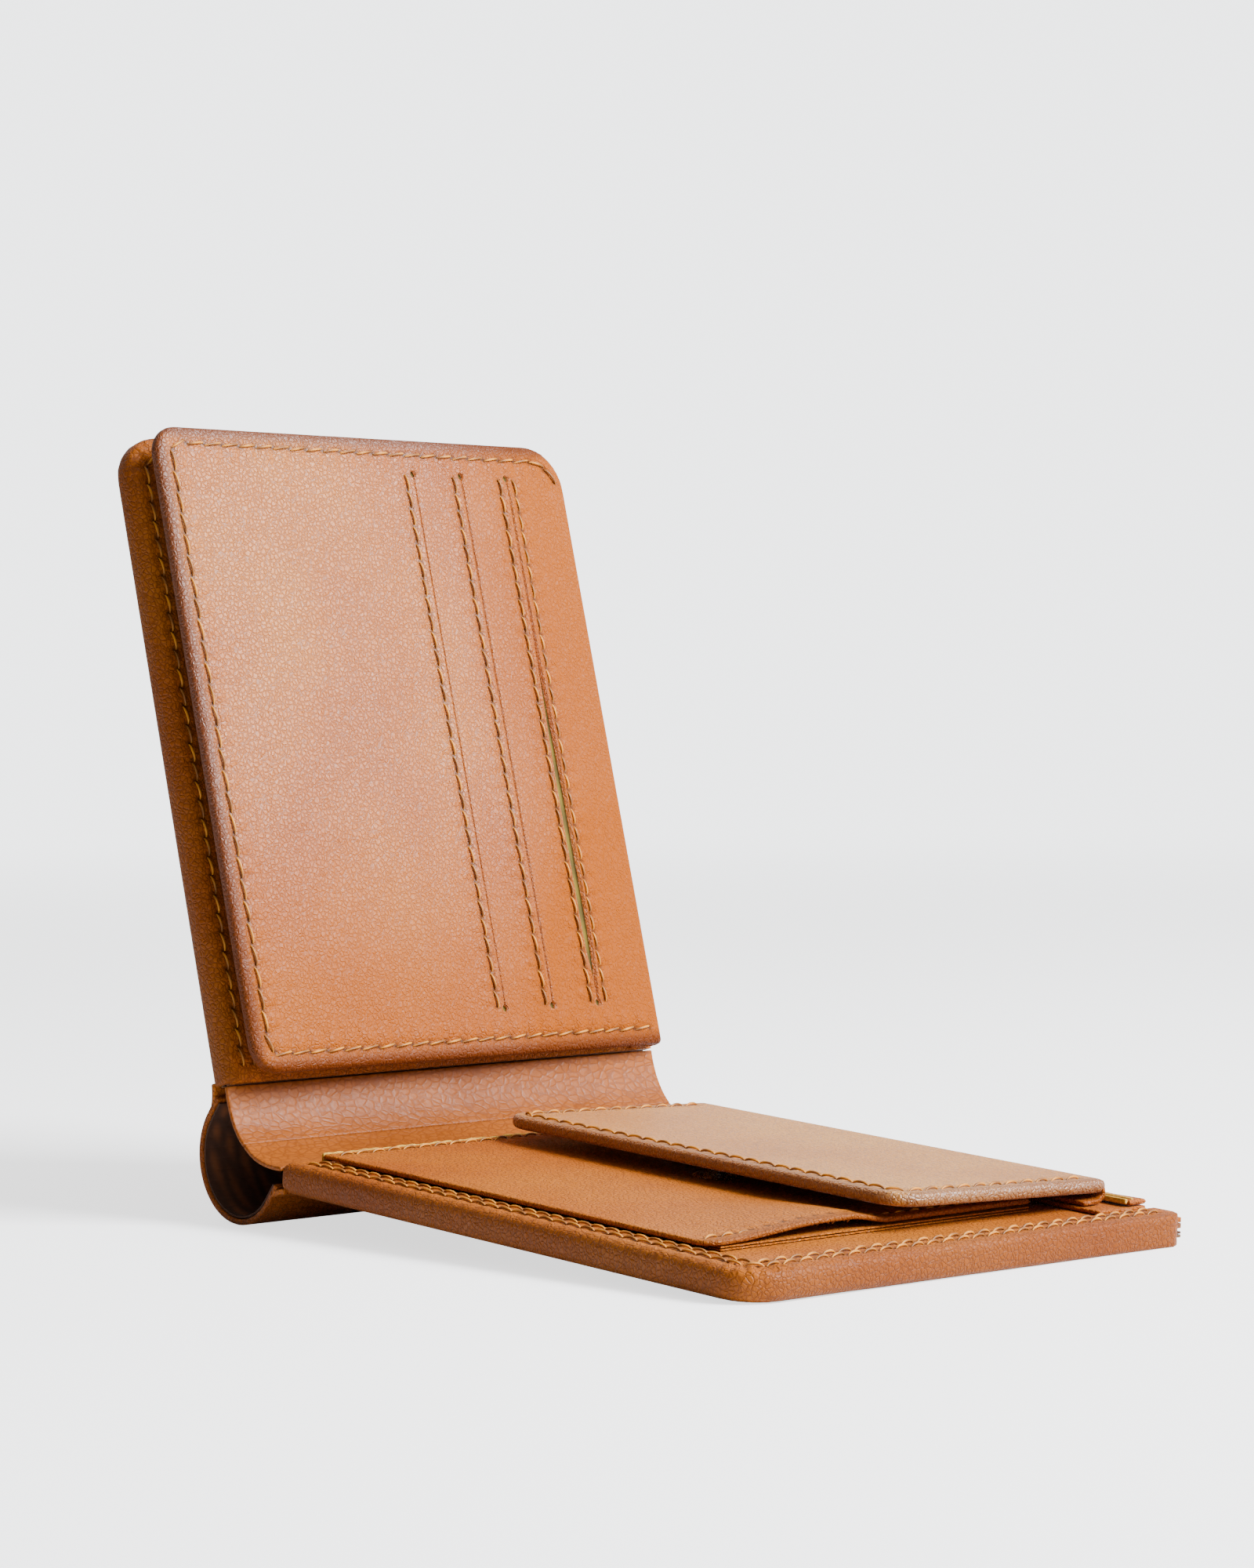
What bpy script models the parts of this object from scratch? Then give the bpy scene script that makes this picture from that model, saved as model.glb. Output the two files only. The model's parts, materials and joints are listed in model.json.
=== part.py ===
"""Bifold leather wallet with a card wing and a coin pocket, standing open on a flat surface.

The wallet is modelled the way it is sewn: two stiffened halves joined by a loose spine loop,
a card wing that turns on the far edge of the upright half, and a coin pocket with a snap flap
on the lying half.

Every body has a frame (an empty) on its own joint axis, and its pieces are modelled flat in
that frame: X runs along the halves, Y from the near edge (closed) to the far edge (open), and
Z points from the cover to the inside of the wallet.  Both fold axes lie at the middle of the
cover leather's thickness.
"""

from math import asin, atan2, cos, degrees, hypot, pi, radians, sin

import bmesh
import bpy
from mathutils import Matrix, Vector

MM = 0.001

# ---- Overall sizes -------------------------------------------------------------------------
HALF_LENGTH = 104.0 * MM  # fold axis to outer edge
WALLET_HEIGHT = 86.0 * MM  # near edge to far edge
SPINE_WIDTH = 21.0 * MM  # between the two fold axes
HALF_CORNER_RADIUS = 6.5 * MM  # outer corners of both halves, in plan

# ---- Rest pose -----------------------------------------------------------------------------
FOLD_ANGLE = radians(36.0)  # how far each fold axis is turned from lying flat
WING_AJAR = radians(2.6)  # card wing's opening at rest
FLAP_AJAR = radians(2.0)  # coin flap's opening at rest

# ---- Leather and lining thicknesses --------------------------------------------------------
COVER_THICKNESS = 0.9 * MM
BOARD_THICKNESS = 0.4 * MM
LINING_THICKNESS = 0.3 * MM
DIVIDER_THICKNESS = 0.7 * MM
PANEL_THICKNESS = 0.7 * MM
LIP_THICKNESS = 0.6 * MM  # turned-in edge of the cover
BILL_GAP = 0.5 * MM  # empty bill compartment
LAYER_GAP = 0.15 * MM  # between neighbouring layers
EDGE_GAP = 0.3 * MM  # round the outline of an inner layer
LIP_WIDTH = 6.5 * MM
TURNED_EDGE_RADIUS = 1.4 * MM
AXIS_CLEARANCE = 0.8 * MM  # from a fold axis to the end of a half

# ---- Spine ---------------------------------------------------------------------------------
LOOP_LEG_INSET = 0.9 * MM  # from a fold axis to the middle of the loop's leg
LOOP_LEG_LENGTH = 3.6 * MM
LOOP_LEG_START = 0.3 * MM
SPINE_LINING_START = -0.4 * MM
WEB_INSET = 1.6 * MM
WEB_HEIGHT = 1.6 * MM  # web's ends, above the line between the fold axes
WEB_SAG = 2.4 * MM
WEB_HEM_WIDTH = 4.0 * MM
WEB_HEM_THICKNESS = 0.5 * MM
WEB_HEM_INSET = 3.5 * MM

# ---- Coin pocket ---------------------------------------------------------------------------
POCKET_START = 2.0 * MM  # from the fold axis
POCKET_OUTER_INSET = 16.0 * MM  # from the half's outer edge
POCKET_MOUTH_INSET = 16.0 * MM  # from the far edge
POCKET_CORNER_RADIUS = 3.0 * MM
POCKET_GAP = 0.9 * MM  # room for coins at rest
POCKET_FRONT_THICKNESS = 0.8 * MM
GUSSET_WIDTH = 7.5 * MM
GUSSET_THICKNESS = 0.2 * MM
MOUTH_HEM_WIDTH = 6.0 * MM
MOUTH_HEM_THICKNESS = 0.5 * MM

# ---- Coin flap -----------------------------------------------------------------------------
FLAP_START = 4.5 * MM
FLAP_OUTER_INSET = 11.5 * MM  # from the half's outer edge
FLAP_DEPTH = 41.0 * MM
FLAP_AXIS_FROM_EDGE = 6.5 * MM  # flap's hinge line, in from the far edge
FLAP_CORNER_RADIUS = 5.5 * MM
FLAP_FRONT_THICKNESS = 0.7 * MM
FLAP_BACK_THICKNESS = 0.7 * MM
FLAP_CLEARANCE = 0.75 * MM  # shut flap above the pocket front
HINGE_LEATHER = 0.7 * MM
HINGE_GAP = 0.15 * MM
FAR_HEM_WIDTH = 10.0 * MM
FAR_HEM_THICKNESS = 0.6 * MM
FAR_ROLL_WIDTH = 3.6 * MM
FAR_ROLL_CLEARANCE = 0.2 * MM  # below the stitching of the flap when it is folded right out
HINGE_FOOT_WIDTH = 3.0 * MM
FAR_HEM_END_INSET = 8.0 * MM  # from the outer edge

# ---- Snap fastener -------------------------------------------------------------------------
SNAP_FROM_FREE_EDGE = 6.0 * MM
SNAP_ALONG_FLAP = 0.5  # of the flap's length
STUD_WASHER_RADIUS = 3.6 * MM
STUD_WASHER_THICKNESS = 0.4 * MM
STUD_KNOB_RADIUS = 1.7 * MM
STUD_NECK_RADIUS = 1.3 * MM
STUD_KNOB_HEIGHT = 0.95 * MM
STUD_POST_RADIUS = 0.9 * MM
SNAP_CLEARANCE = 0.4 * MM
EYELET_RADIUS = 2.6 * MM
EYELET_THICKNESS = 0.4 * MM
SOCKET_RING_WIDTH = 2.0 * MM

# ---- Card wing -----------------------------------------------------------------------------
WING_START = 1.0 * MM
WING_OUTER_INSET = 0.4 * MM  # from the half's outer edge
WING_NEAR_INSET = 0.9 * MM  # from the half's near edge
WING_CORNER_RADIUS = 4.5 * MM
WING_FRONT_THICKNESS = 0.7 * MM
WING_BACK_THICKNESS = 0.6 * MM
WING_WALL = 0.9 * MM
CARD_POCKET_THICKNESS = 0.15 * MM
CARD_POCKET_DEPTH = 50.0 * MM
WING_CLEARANCE = 0.15 * MM  # shut wing above the edge stitching
SLIT_FROM_OUTER_END = 6.0 * MM
SLIT_FROM_SPINE_END = 7.5 * MM
SLIT_FROM_HINGE = (31.5 * MM, 21.2 * MM, 11.2 * MM)
SLIT_WIDTHS = (0.35 * MM, 0.35 * MM, 1.2 * MM)
PUNCH_RADIUS = 0.75 * MM

# ---- Roundness of the leaves' edges, as shares of half a leaf's thickness ------------------
FOLD_ROUNDING = 0.95
RIM_ROUNDING = 0.6
ROLL_ROUNDING = 0.7  # the far roll's, as a share of its height

# ---- Stitching -----------------------------------------------------------------------------
THREAD_RADIUS = 0.2 * MM
THREAD_LIFT = 0.05 * MM
EDGE_STITCH_INSETS = (3.2 * MM, 5.2 * MM)
EDGE_STITCH_END_INSET = 2.5 * MM
WING_STITCH_INSET = 2.8 * MM
FLAP_STITCH_INSET = 2.5 * MM
SLIT_STITCH_OFFSET = 1.6 * MM
POCKET_STITCH_INSET = 1.7 * MM
RIM_STITCH_INSET = 2.6 * MM

# ---- Mesh resolution -----------------------------------------------------------------------
ARC_STEPS = 5
LOOP_STEPS = 16
TURNED_STEPS = 20
WEB_STEPS = 10
PAST = 2.0 * MM  # how far a cutter runs past what it cuts
SHARP_ANGLE = radians(60.0)  # only edges sharper than this are rounded
TINY = 0.01 * MM

# ---- Heights above the fold axis, worked out from the layers -------------------------------
COVER_OUTSIDE = -COVER_THICKNESS / 2
COVER_INSIDE = COVER_THICKNESS / 2
BOARD_BOTTOM = COVER_INSIDE + LAYER_GAP
LINING_BOTTOM = BOARD_BOTTOM + BOARD_THICKNESS + LAYER_GAP
DIVIDER_BOTTOM = LINING_BOTTOM + LINING_THICKNESS + BILL_GAP
PANEL_BOTTOM = DIVIDER_BOTTOM + DIVIDER_THICKNESS + LAYER_GAP
PANEL_TOP = PANEL_BOTTOM + PANEL_THICKNESS
LIP_BOTTOM = PANEL_TOP + LAYER_GAP
LIP_TOP = LIP_BOTTOM + LIP_THICKNESS
THREAD_HEIGHT = THREAD_LIFT + THREAD_RADIUS
STITCH_TOP = LIP_TOP + THREAD_HEIGHT + THREAD_RADIUS
POCKET_BOTTOM = PANEL_TOP + POCKET_GAP
POCKET_TOP = POCKET_BOTTOM + POCKET_FRONT_THICKNESS
FLAP_THICKNESS = FLAP_FRONT_THICKNESS + BOARD_THICKNESS + FLAP_BACK_THICKNESS + 2 * LAYER_GAP
FLAP_AXIS_Z = POCKET_TOP + FLAP_CLEARANCE + FLAP_THICKNESS / 2
FLAP_AXIS_Y = WALLET_HEIGHT - FLAP_AXIS_FROM_EDGE
FAR_HEM_TOP = PANEL_TOP + LAYER_GAP + FAR_HEM_THICKNESS
FLAP_END = HALF_LENGTH - FLAP_OUTER_INSET
POCKET_END = HALF_LENGTH - POCKET_OUTER_INSET
POCKET_MOUTH = WALLET_HEIGHT - POCKET_MOUTH_INSET
CARD_POCKET_COUNT = len(SLIT_FROM_HINGE)
WING_THICKNESS = (
    WING_FRONT_THICKNESS
    + CARD_POCKET_COUNT * CARD_POCKET_THICKNESS
    + (CARD_POCKET_COUNT + 1) * LAYER_GAP
    + WING_BACK_THICKNESS
)
WING_AXIS_Z = STITCH_TOP + WING_CLEARANCE + WING_THICKNESS / 2
WING_HINGE_RADIUS = WING_THICKNESS / 2 + HINGE_GAP + HINGE_LEATHER
WING_AXIS_Y = WALLET_HEIGHT - WING_HINGE_RADIUS
WING_DEPTH = WING_AXIS_Y - WING_NEAR_INSET
WING_END = HALF_LENGTH - WING_OUTER_INSET
SLIT_START = WING_START + SLIT_FROM_SPINE_END
SLIT_END = WING_END - SLIT_FROM_OUTER_END
SNAP_X = FLAP_START + (FLAP_END - FLAP_START) * SNAP_ALONG_FLAP
SNAP_Y = FLAP_AXIS_Y - FLAP_DEPTH + SNAP_FROM_FREE_EDGE
LOOP_RADIUS = SPINE_WIDTH / 2 - LOOP_LEG_INSET

# ---- Finishes ------------------------------------------------------------------------------
FINISHES = {
    "leather": ((0.46, 0.18, 0.045), 0.45, 0.0),
    "suede": ((0.16, 0.055, 0.015), 0.85, 0.0),
    "lining": ((0.22, 0.10, 0.035), 0.9, 0.0),
    "board": ((0.55, 0.47, 0.36), 0.95, 0.0),
    "card_lining": ((0.22, 0.16, 0.02), 0.9, 0.0),
    "thread": ((0.60, 0.31, 0.05), 0.6, 0.0),
    "steel": ((0.70, 0.70, 0.72), 0.25, 1.0),
}


def clear_scene():
    """Remove every object, so that the script can be run again."""
    for old in list(bpy.data.objects):
        bpy.data.objects.remove(old, do_unlink=True)


def new_collection(name):
    """Make a collection and link it to the scene."""
    collection = bpy.data.collections.new(name)
    bpy.context.scene.collection.children.link(collection)
    return collection


def make_material(name, finish):
    """Make one piece's own Principled material from a finish."""
    colour, roughness, metallic = FINISHES[finish]
    material = bpy.data.materials.new(name)
    material.use_nodes = True
    shader = material.node_tree.nodes["Principled BSDF"]
    shader.inputs["Base Color"].default_value = (*colour, 1.0)
    shader.inputs["Roughness"].default_value = roughness
    shader.inputs["Metallic"].default_value = metallic
    return material


def make_frame(name, parent, location=(0.0, 0.0, 0.0), rotation=(0.0, 0.0, 0.0)):
    """Make an empty that carries one body's pieces."""
    frame = bpy.data.objects.new(name, None)
    frame.empty_display_size = 10 * MM
    frame.parent = parent
    frame.location = location
    frame.rotation_euler = rotation
    PARTS.objects.link(frame)
    return frame


def add_piece(name, data, frame, finish):
    """Put a mesh or a curve into the wallet as a finished, named piece."""
    piece = bpy.data.objects.new(name, data)
    piece.parent = frame
    piece.data.materials.clear()
    piece.data.materials.append(make_material(name + "_" + finish, finish))
    PARTS.objects.link(piece)
    return piece


def add_cutter(name, data, frame):
    """Put a mesh into the cutters' collection, hidden from renders."""
    cutter = bpy.data.objects.new(name, data)
    cutter.parent = frame
    cutter.hide_render = True
    cutter.display_type = "WIRE"
    CUTTERS.objects.link(cutter)
    return cutter


# ---- Outlines ------------------------------------------------------------------------------


def arc(cx, cy, radius, start, end, steps=ARC_STEPS):
    """Points of an arc from one angle to another, both ends included."""
    angles = [start + (end - start) * i / steps for i in range(steps + 1)]
    return [(cx + radius * cos(angle), cy + radius * sin(angle)) for angle in angles]


def rounded_outline(x0, x1, y0, y1, radii=(0.0, 0.0, 0.0, 0.0)):
    """Rectangle with its own radius at (x0,y0), (x1,y0), (x1,y1) and (x0,y1)."""
    corners = (
        (x0, y0, 1, 1, pi),
        (x1, y0, -1, 1, 1.5 * pi),
        (x1, y1, -1, -1, 0.0),
        (x0, y1, 1, -1, 0.5 * pi),
    )
    points = []
    for (x, y, inward_x, inward_y, start), radius in zip(corners, radii):
        if radius > 0:
            points += arc(x + inward_x * radius, y + inward_y * radius, radius, start, start + pi / 2)
        else:
            points.append((x, y))
    return points


def circle_outline(cx, cy, radius):
    """Closed circle."""
    return arc(cx, cy, radius, 0.0, 2 * pi, TURNED_STEPS)[:-1]


def mirrored(points, side):
    """The outline as it stands, or mirrored to the other half."""
    return [(side * x, y) for x, y in points]


def outline_curve(name, outlines, bottom, top):
    """Flat outline, with holes after the first, filled and extruded between two heights."""
    curve = bpy.data.curves.new(name, "CURVE")
    curve.dimensions = "2D"
    curve.fill_mode = "BOTH"
    curve.extrude = (top - bottom) / 2
    for points in outlines:
        spline = curve.splines.new("POLY")
        spline.points.add(len(points) - 1)
        for point, (x, y) in zip(spline.points, points):
            point.co = (x, y, 0.0, 1.0)
        spline.use_cyclic_u = True
    return curve


def plate(name, frame, finish, outlines, bottom, top):
    """A flat leather, board or lining piece."""
    piece = add_piece(name, outline_curve(name, outlines, bottom, top), frame, finish)
    piece.location.z = (bottom + top) / 2
    return piece


def block_mesh(name, outline, bottom, top):
    """The same extruded outline as a welded mesh, for bevels and booleans."""
    helper = bpy.data.objects.new(name + "_helper", outline_curve(name, [outline], bottom, top))
    CUTTERS.objects.link(helper)
    evaluated = helper.evaluated_get(bpy.context.evaluated_depsgraph_get())
    mesh = bpy.data.meshes.new_from_object(evaluated)
    mesh.name = name
    bpy.data.objects.remove(helper, do_unlink=True)
    shape = bmesh.new()
    shape.from_mesh(mesh)
    bmesh.ops.remove_doubles(shape, verts=shape.verts, dist=0.001 * MM)
    bmesh.ops.dissolve_limit(shape, angle_limit=radians(1.0), verts=shape.verts, edges=shape.edges)
    bmesh.ops.translate(shape, verts=shape.verts, vec=(0.0, 0.0, (bottom + top) / 2))
    shape.to_mesh(mesh)
    shape.free()
    return mesh


def bevel_where(mesh, chosen, width, segments=2):
    """Round the sharp level edges whose two ends satisfy a rule."""
    shape = bmesh.new()
    shape.from_mesh(mesh)
    edges = []
    for edge in shape.edges:
        first, second = edge.verts
        level = near_height(first.co.z, second.co.z)
        if level and chosen(first.co) and chosen(second.co) and edge.calc_face_angle(0.0) > SHARP_ANGLE:
            edges.append(edge)
    bmesh.ops.bevel(shape, geom=edges, offset=width, segments=segments, profile=0.5, affect="EDGES")
    shape.to_mesh(mesh)
    shape.free()


def cut(piece, cutter):
    """Subtract a cutter from a piece."""
    modifier = piece.modifiers.new("cut_" + cutter.name, "BOOLEAN")
    modifier.operation = "DIFFERENCE"
    modifier.solver = "EXACT"
    modifier.object = cutter


def near_height(value, target):
    """Whether two heights are the same."""
    return abs(value - target) < TINY


# ---- Sheets, threads and turned pieces -----------------------------------------------------


def sheet_along_y(name, frame, finish, path, near, far, thickness):
    """A bent sheet: a path in XZ drawn out along Y, then given its thickness."""
    shape = bmesh.new()
    row = [shape.verts.new((x, near, z)) for x, z in path]
    edges = [shape.edges.new(pair) for pair in zip(row, row[1:])]
    drawn = bmesh.ops.extrude_edge_only(shape, edges=edges)
    moved = [item for item in drawn["geom"] if isinstance(item, bmesh.types.BMVert)]
    bmesh.ops.translate(shape, verts=moved, vec=(0.0, far - near, 0.0))
    mesh = bpy.data.meshes.new(name)
    shape.to_mesh(mesh)
    shape.free()
    piece = add_piece(name, mesh, frame, finish)
    solid = piece.modifiers.new("thickness", "SOLIDIFY")
    solid.thickness = thickness
    solid.offset = 0.0
    solid.use_even_offset = True
    return piece


def sheet_along_x(name, frame, finish, path, start, end, thickness):
    """A bent sheet whose path in YZ is drawn out along X."""
    piece = sheet_along_y(name, frame, finish, path, start, end, thickness)
    turn = Matrix(((0.0, 1.0, 0.0, 0.0), (1.0, 0.0, 0.0, 0.0), (0.0, 0.0, 1.0, 0.0), (0.0, 0.0, 0.0, 1.0)))
    piece.data.transform(turn)
    piece.data.flip_normals()
    return piece


def thread(name, frame, route, height):
    """One line of stitching, as a continuous thread laid on the leather."""
    curve = bpy.data.curves.new(name, "CURVE")
    curve.dimensions = "3D"
    curve.bevel_depth = THREAD_RADIUS
    curve.bevel_resolution = 1
    curve.use_fill_caps = True
    spline = curve.splines.new("POLY")
    spline.points.add(len(route) - 1)
    for point, (x, y) in zip(spline.points, route):
        point.co = (x, y, height, 1.0)
    return add_piece(name, curve, frame, "thread")


def turned_piece(name, frame, finish, profile, closed, x, y):
    """A piece of revolution about an axis along Z; the profile is (radius, height) pairs."""
    shape = bmesh.new()
    ring = [shape.verts.new((radius, 0.0, height)) for radius, height in profile]
    for pair in zip(ring, ring[1:]):
        shape.edges.new(pair)
    if closed:
        shape.edges.new((ring[-1], ring[0]))
    mesh = bpy.data.meshes.new(name)
    shape.to_mesh(mesh)
    shape.free()
    piece = add_piece(name, mesh, frame, finish)
    piece.location = (x, y, 0.0)
    screw = piece.modifiers.new("turn", "SCREW")
    screw.steps = TURNED_STEPS
    screw.render_steps = TURNED_STEPS
    screw.use_merge_vertices = True
    screw.merge_threshold = 0.00001
    return piece


# ---- Halves --------------------------------------------------------------------------------


def half_cover(name, frame, side):
    """Outer leather of one half, turned in over the near and the outer edge."""
    start = AXIS_CLEARANCE
    corner = (0.0, HALF_CORNER_RADIUS, HALF_CORNER_RADIUS / 2, 0.0)
    outline = rounded_outline(start, HALF_LENGTH, 0.0, WALLET_HEIGHT, corner)
    mesh = block_mesh(name, mirrored(outline, side), COVER_OUTSIDE, LIP_TOP)

    def on_turned_edge(point):
        near_side = point.y < HALF_CORNER_RADIUS - TINY
        outer_side = side * point.x > HALF_LENGTH - HALF_CORNER_RADIUS - TINY
        return (near_side or outer_side) and point.y < WALLET_HEIGHT - HALF_CORNER_RADIUS / 2 + TINY

    bevel_where(mesh, on_turned_edge, TURNED_EDGE_RADIUS)
    cover = add_piece(name, mesh, frame, "leather")
    inner_corner = (0.0, HALF_CORNER_RADIUS - COVER_THICKNESS, 0.0, 0.0)
    inner = rounded_outline(
        start - PAST, HALF_LENGTH - COVER_THICKNESS, COVER_THICKNESS, WALLET_HEIGHT + PAST, inner_corner
    )
    hollow = block_mesh(name + "_hollow", mirrored(inner, side), COVER_INSIDE, LIP_BOTTOM)
    cut(cover, add_cutter(name + "_hollow", hollow, frame))
    window = rounded_outline(start - PAST, HALF_LENGTH - LIP_WIDTH, LIP_WIDTH, WALLET_HEIGHT + PAST)
    middle = (COVER_INSIDE + LIP_BOTTOM) / 2
    opening = block_mesh(name + "_window", mirrored(window, side), middle, LIP_TOP + PAST)
    cut(cover, add_cutter(name + "_window", opening, frame))
    return cover


def half_layers(prefix, frame, side):
    """Board, lining, divider and panel that lie inside a half's cover."""
    inset = COVER_THICKNESS + EDGE_GAP
    corner = (0.0, HALF_CORNER_RADIUS - inset, 0.0, 0.0)
    outline = mirrored(
        rounded_outline(AXIS_CLEARANCE, HALF_LENGTH - inset, inset, WALLET_HEIGHT, corner), side
    )
    layers = (
        ("_board", "board", BOARD_BOTTOM, BOARD_THICKNESS),
        ("_bill_lining", "lining", LINING_BOTTOM, LINING_THICKNESS),
        ("_divider", "suede", DIVIDER_BOTTOM, DIVIDER_THICKNESS),
        ("_panel", "leather", PANEL_BOTTOM, PANEL_THICKNESS),
    )
    for suffix, finish, bottom, thickness in layers:
        plate(prefix + suffix, frame, finish, [outline], bottom, bottom + thickness)


def half_stitching(prefix, frame, side):
    """Two parallel lines of stitching along the near and the outer edge."""
    for number, inset in enumerate(EDGE_STITCH_INSETS, start=1):
        radius = HALF_CORNER_RADIUS - inset
        turn_x = HALF_LENGTH - inset
        route = [(AXIS_CLEARANCE + EDGE_STITCH_END_INSET, inset)]
        route += arc(turn_x - max(radius, MM), inset + max(radius, MM), max(radius, MM), 1.5 * pi, 2 * pi)
        route.append((turn_x, WALLET_HEIGHT - EDGE_STITCH_END_INSET))
        thread(f"{prefix}_edge_thread_{number}", frame, mirrored(route, side), LIP_TOP + THREAD_HEIGHT)


def build_half(prefix, frame, side):
    """All that both halves have."""
    half_cover(prefix + "_cover", frame, side)
    half_layers(prefix, frame, side)
    half_stitching(prefix, frame, side)


# ---- Spine ---------------------------------------------------------------------------------


def loop_path(inward, start_height):
    """U-shaped path of the spine loop, moved inward from the cover's middle line."""
    radius = LOOP_RADIUS - inward
    left = -SPINE_WIDTH / 2 - radius
    right = -SPINE_WIDTH / 2 + radius
    bend = arc(-SPINE_WIDTH / 2, -LOOP_LEG_LENGTH, radius, 0.0, -pi, LOOP_STEPS)
    return [(right, start_height)] + bend + [(left, start_height)]


def web_path(inset, drop):
    """Sagging path of the inner web between the two halves."""
    middle = -SPINE_WIDTH / 2
    reach = SPINE_WIDTH / 2 - WEB_INSET
    span = SPINE_WIDTH - 2 * inset
    path = []
    for i in range(WEB_STEPS + 1):
        x = -inset - span * i / WEB_STEPS
        z = WEB_HEIGHT - WEB_SAG * (1 - ((x - middle) / reach) ** 2)
        path.append((x, z - drop))
    return path


def build_spine(frame):
    """Loose outer loop, its lining, and the inner web with its hem."""
    loop = loop_path(0.0, LOOP_LEG_START)
    sheet_along_y("spine_cover", frame, "leather", loop, 0.0, WALLET_HEIGHT, COVER_THICKNESS)
    inward = COVER_THICKNESS / 2 + LAYER_GAP + LINING_THICKNESS / 2
    lining = loop_path(inward, SPINE_LINING_START)
    lining_far = WALLET_HEIGHT - EDGE_GAP
    sheet_along_y("spine_lining", frame, "lining", lining, EDGE_GAP, lining_far, LINING_THICKNESS)
    web = web_path(WEB_INSET, 0.0)
    sheet_along_y("spine_web", frame, "leather", web, 0.0, WALLET_HEIGHT, DIVIDER_THICKNESS)
    drop = DIVIDER_THICKNESS / 2 + LAYER_GAP + WEB_HEM_THICKNESS / 2
    hem = web_path(WEB_HEM_INSET, drop)
    hem_near = WALLET_HEIGHT - WEB_HEM_WIDTH
    sheet_along_y("spine_web_hem", frame, "leather", hem, hem_near, WALLET_HEIGHT, WEB_HEM_THICKNESS)


# ---- Coin pocket ---------------------------------------------------------------------------


def build_coin_pocket(frame):
    """Pocket front, its gusset, hem and stitching, and the far edge's hem and roll."""
    near = LIP_WIDTH + EDGE_GAP
    corner = (0.0, POCKET_CORNER_RADIUS, 0.0, 0.0)
    outline = rounded_outline(POCKET_START, POCKET_END, near, POCKET_MOUTH, corner)
    rivet_hole = circle_outline(SNAP_X, SNAP_Y, STUD_POST_RADIUS + EDGE_GAP)
    plate("coin_pocket_front", frame, "leather", [outline, rivet_hole], POCKET_BOTTOM, POCKET_TOP)

    fold_height = (PANEL_TOP + POCKET_BOTTOM) / 2
    fold_radius = POCKET_GAP / 2 - LAYER_GAP - GUSSET_THICKNESS / 2
    inner_end = POCKET_END - GUSSET_WIDTH
    outer_end = POCKET_END - EDGE_GAP
    gusset = [(outer_end, fold_height - fold_radius)]
    gusset += arc(inner_end, fold_height, fold_radius, -0.5 * pi, -1.5 * pi)
    gusset.append((outer_end, fold_height + fold_radius))
    gusset_near = near + POCKET_CORNER_RADIUS
    sheet_along_y("coin_pocket_gusset", frame, "leather", gusset, gusset_near, POCKET_MOUTH, GUSSET_THICKNESS)

    hem_end = inner_end - fold_radius - GUSSET_THICKNESS / 2 - EDGE_GAP
    hem = rounded_outline(POCKET_START, hem_end, POCKET_MOUTH - MOUTH_HEM_WIDTH, POCKET_MOUTH)
    hem_top = POCKET_BOTTOM - LAYER_GAP
    plate("coin_pocket_mouth_hem", frame, "suede", [hem], hem_top - MOUTH_HEM_THICKNESS, hem_top)

    height = POCKET_TOP + THREAD_HEIGHT
    side_x = POCKET_START + POCKET_STITCH_INSET
    rim_x = POCKET_END - RIM_STITCH_INSET
    ends = (near + POCKET_STITCH_INSET, POCKET_MOUTH - POCKET_STITCH_INSET)
    thread("coin_pocket_side_thread", frame, [(side_x, y) for y in ends], height)
    thread("coin_pocket_rim_thread", frame, [(rim_x, y) for y in ends], height)

    hem_start = POCKET_START
    far_end = HALF_LENGTH - FAR_HEM_END_INSET
    far_hem = rounded_outline(hem_start, far_end, WALLET_HEIGHT - FAR_HEM_WIDTH, WALLET_HEIGHT)
    plate("coin_far_hem", frame, "leather", [far_hem], FAR_HEM_TOP - FAR_HEM_THICKNESS, FAR_HEM_TOP)
    roll_bottom = FAR_HEM_TOP + LAYER_GAP
    roll_top = FLAP_AXIS_Z - FLAP_THICKNESS / 2 - THREAD_HEIGHT - THREAD_RADIUS - FAR_ROLL_CLEARANCE
    roll = rounded_outline(hem_start, far_end, WALLET_HEIGHT - FAR_ROLL_WIDTH, WALLET_HEIGHT)
    roll_mesh = block_mesh("coin_far_roll", roll, roll_bottom, roll_top)
    rounding = (roll_top - roll_bottom) * ROLL_ROUNDING
    bevel_where(roll_mesh, lambda point: near_height(point.z, roll_top), rounding, 3)
    add_piece("coin_far_roll", roll_mesh, frame, "leather")


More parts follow.
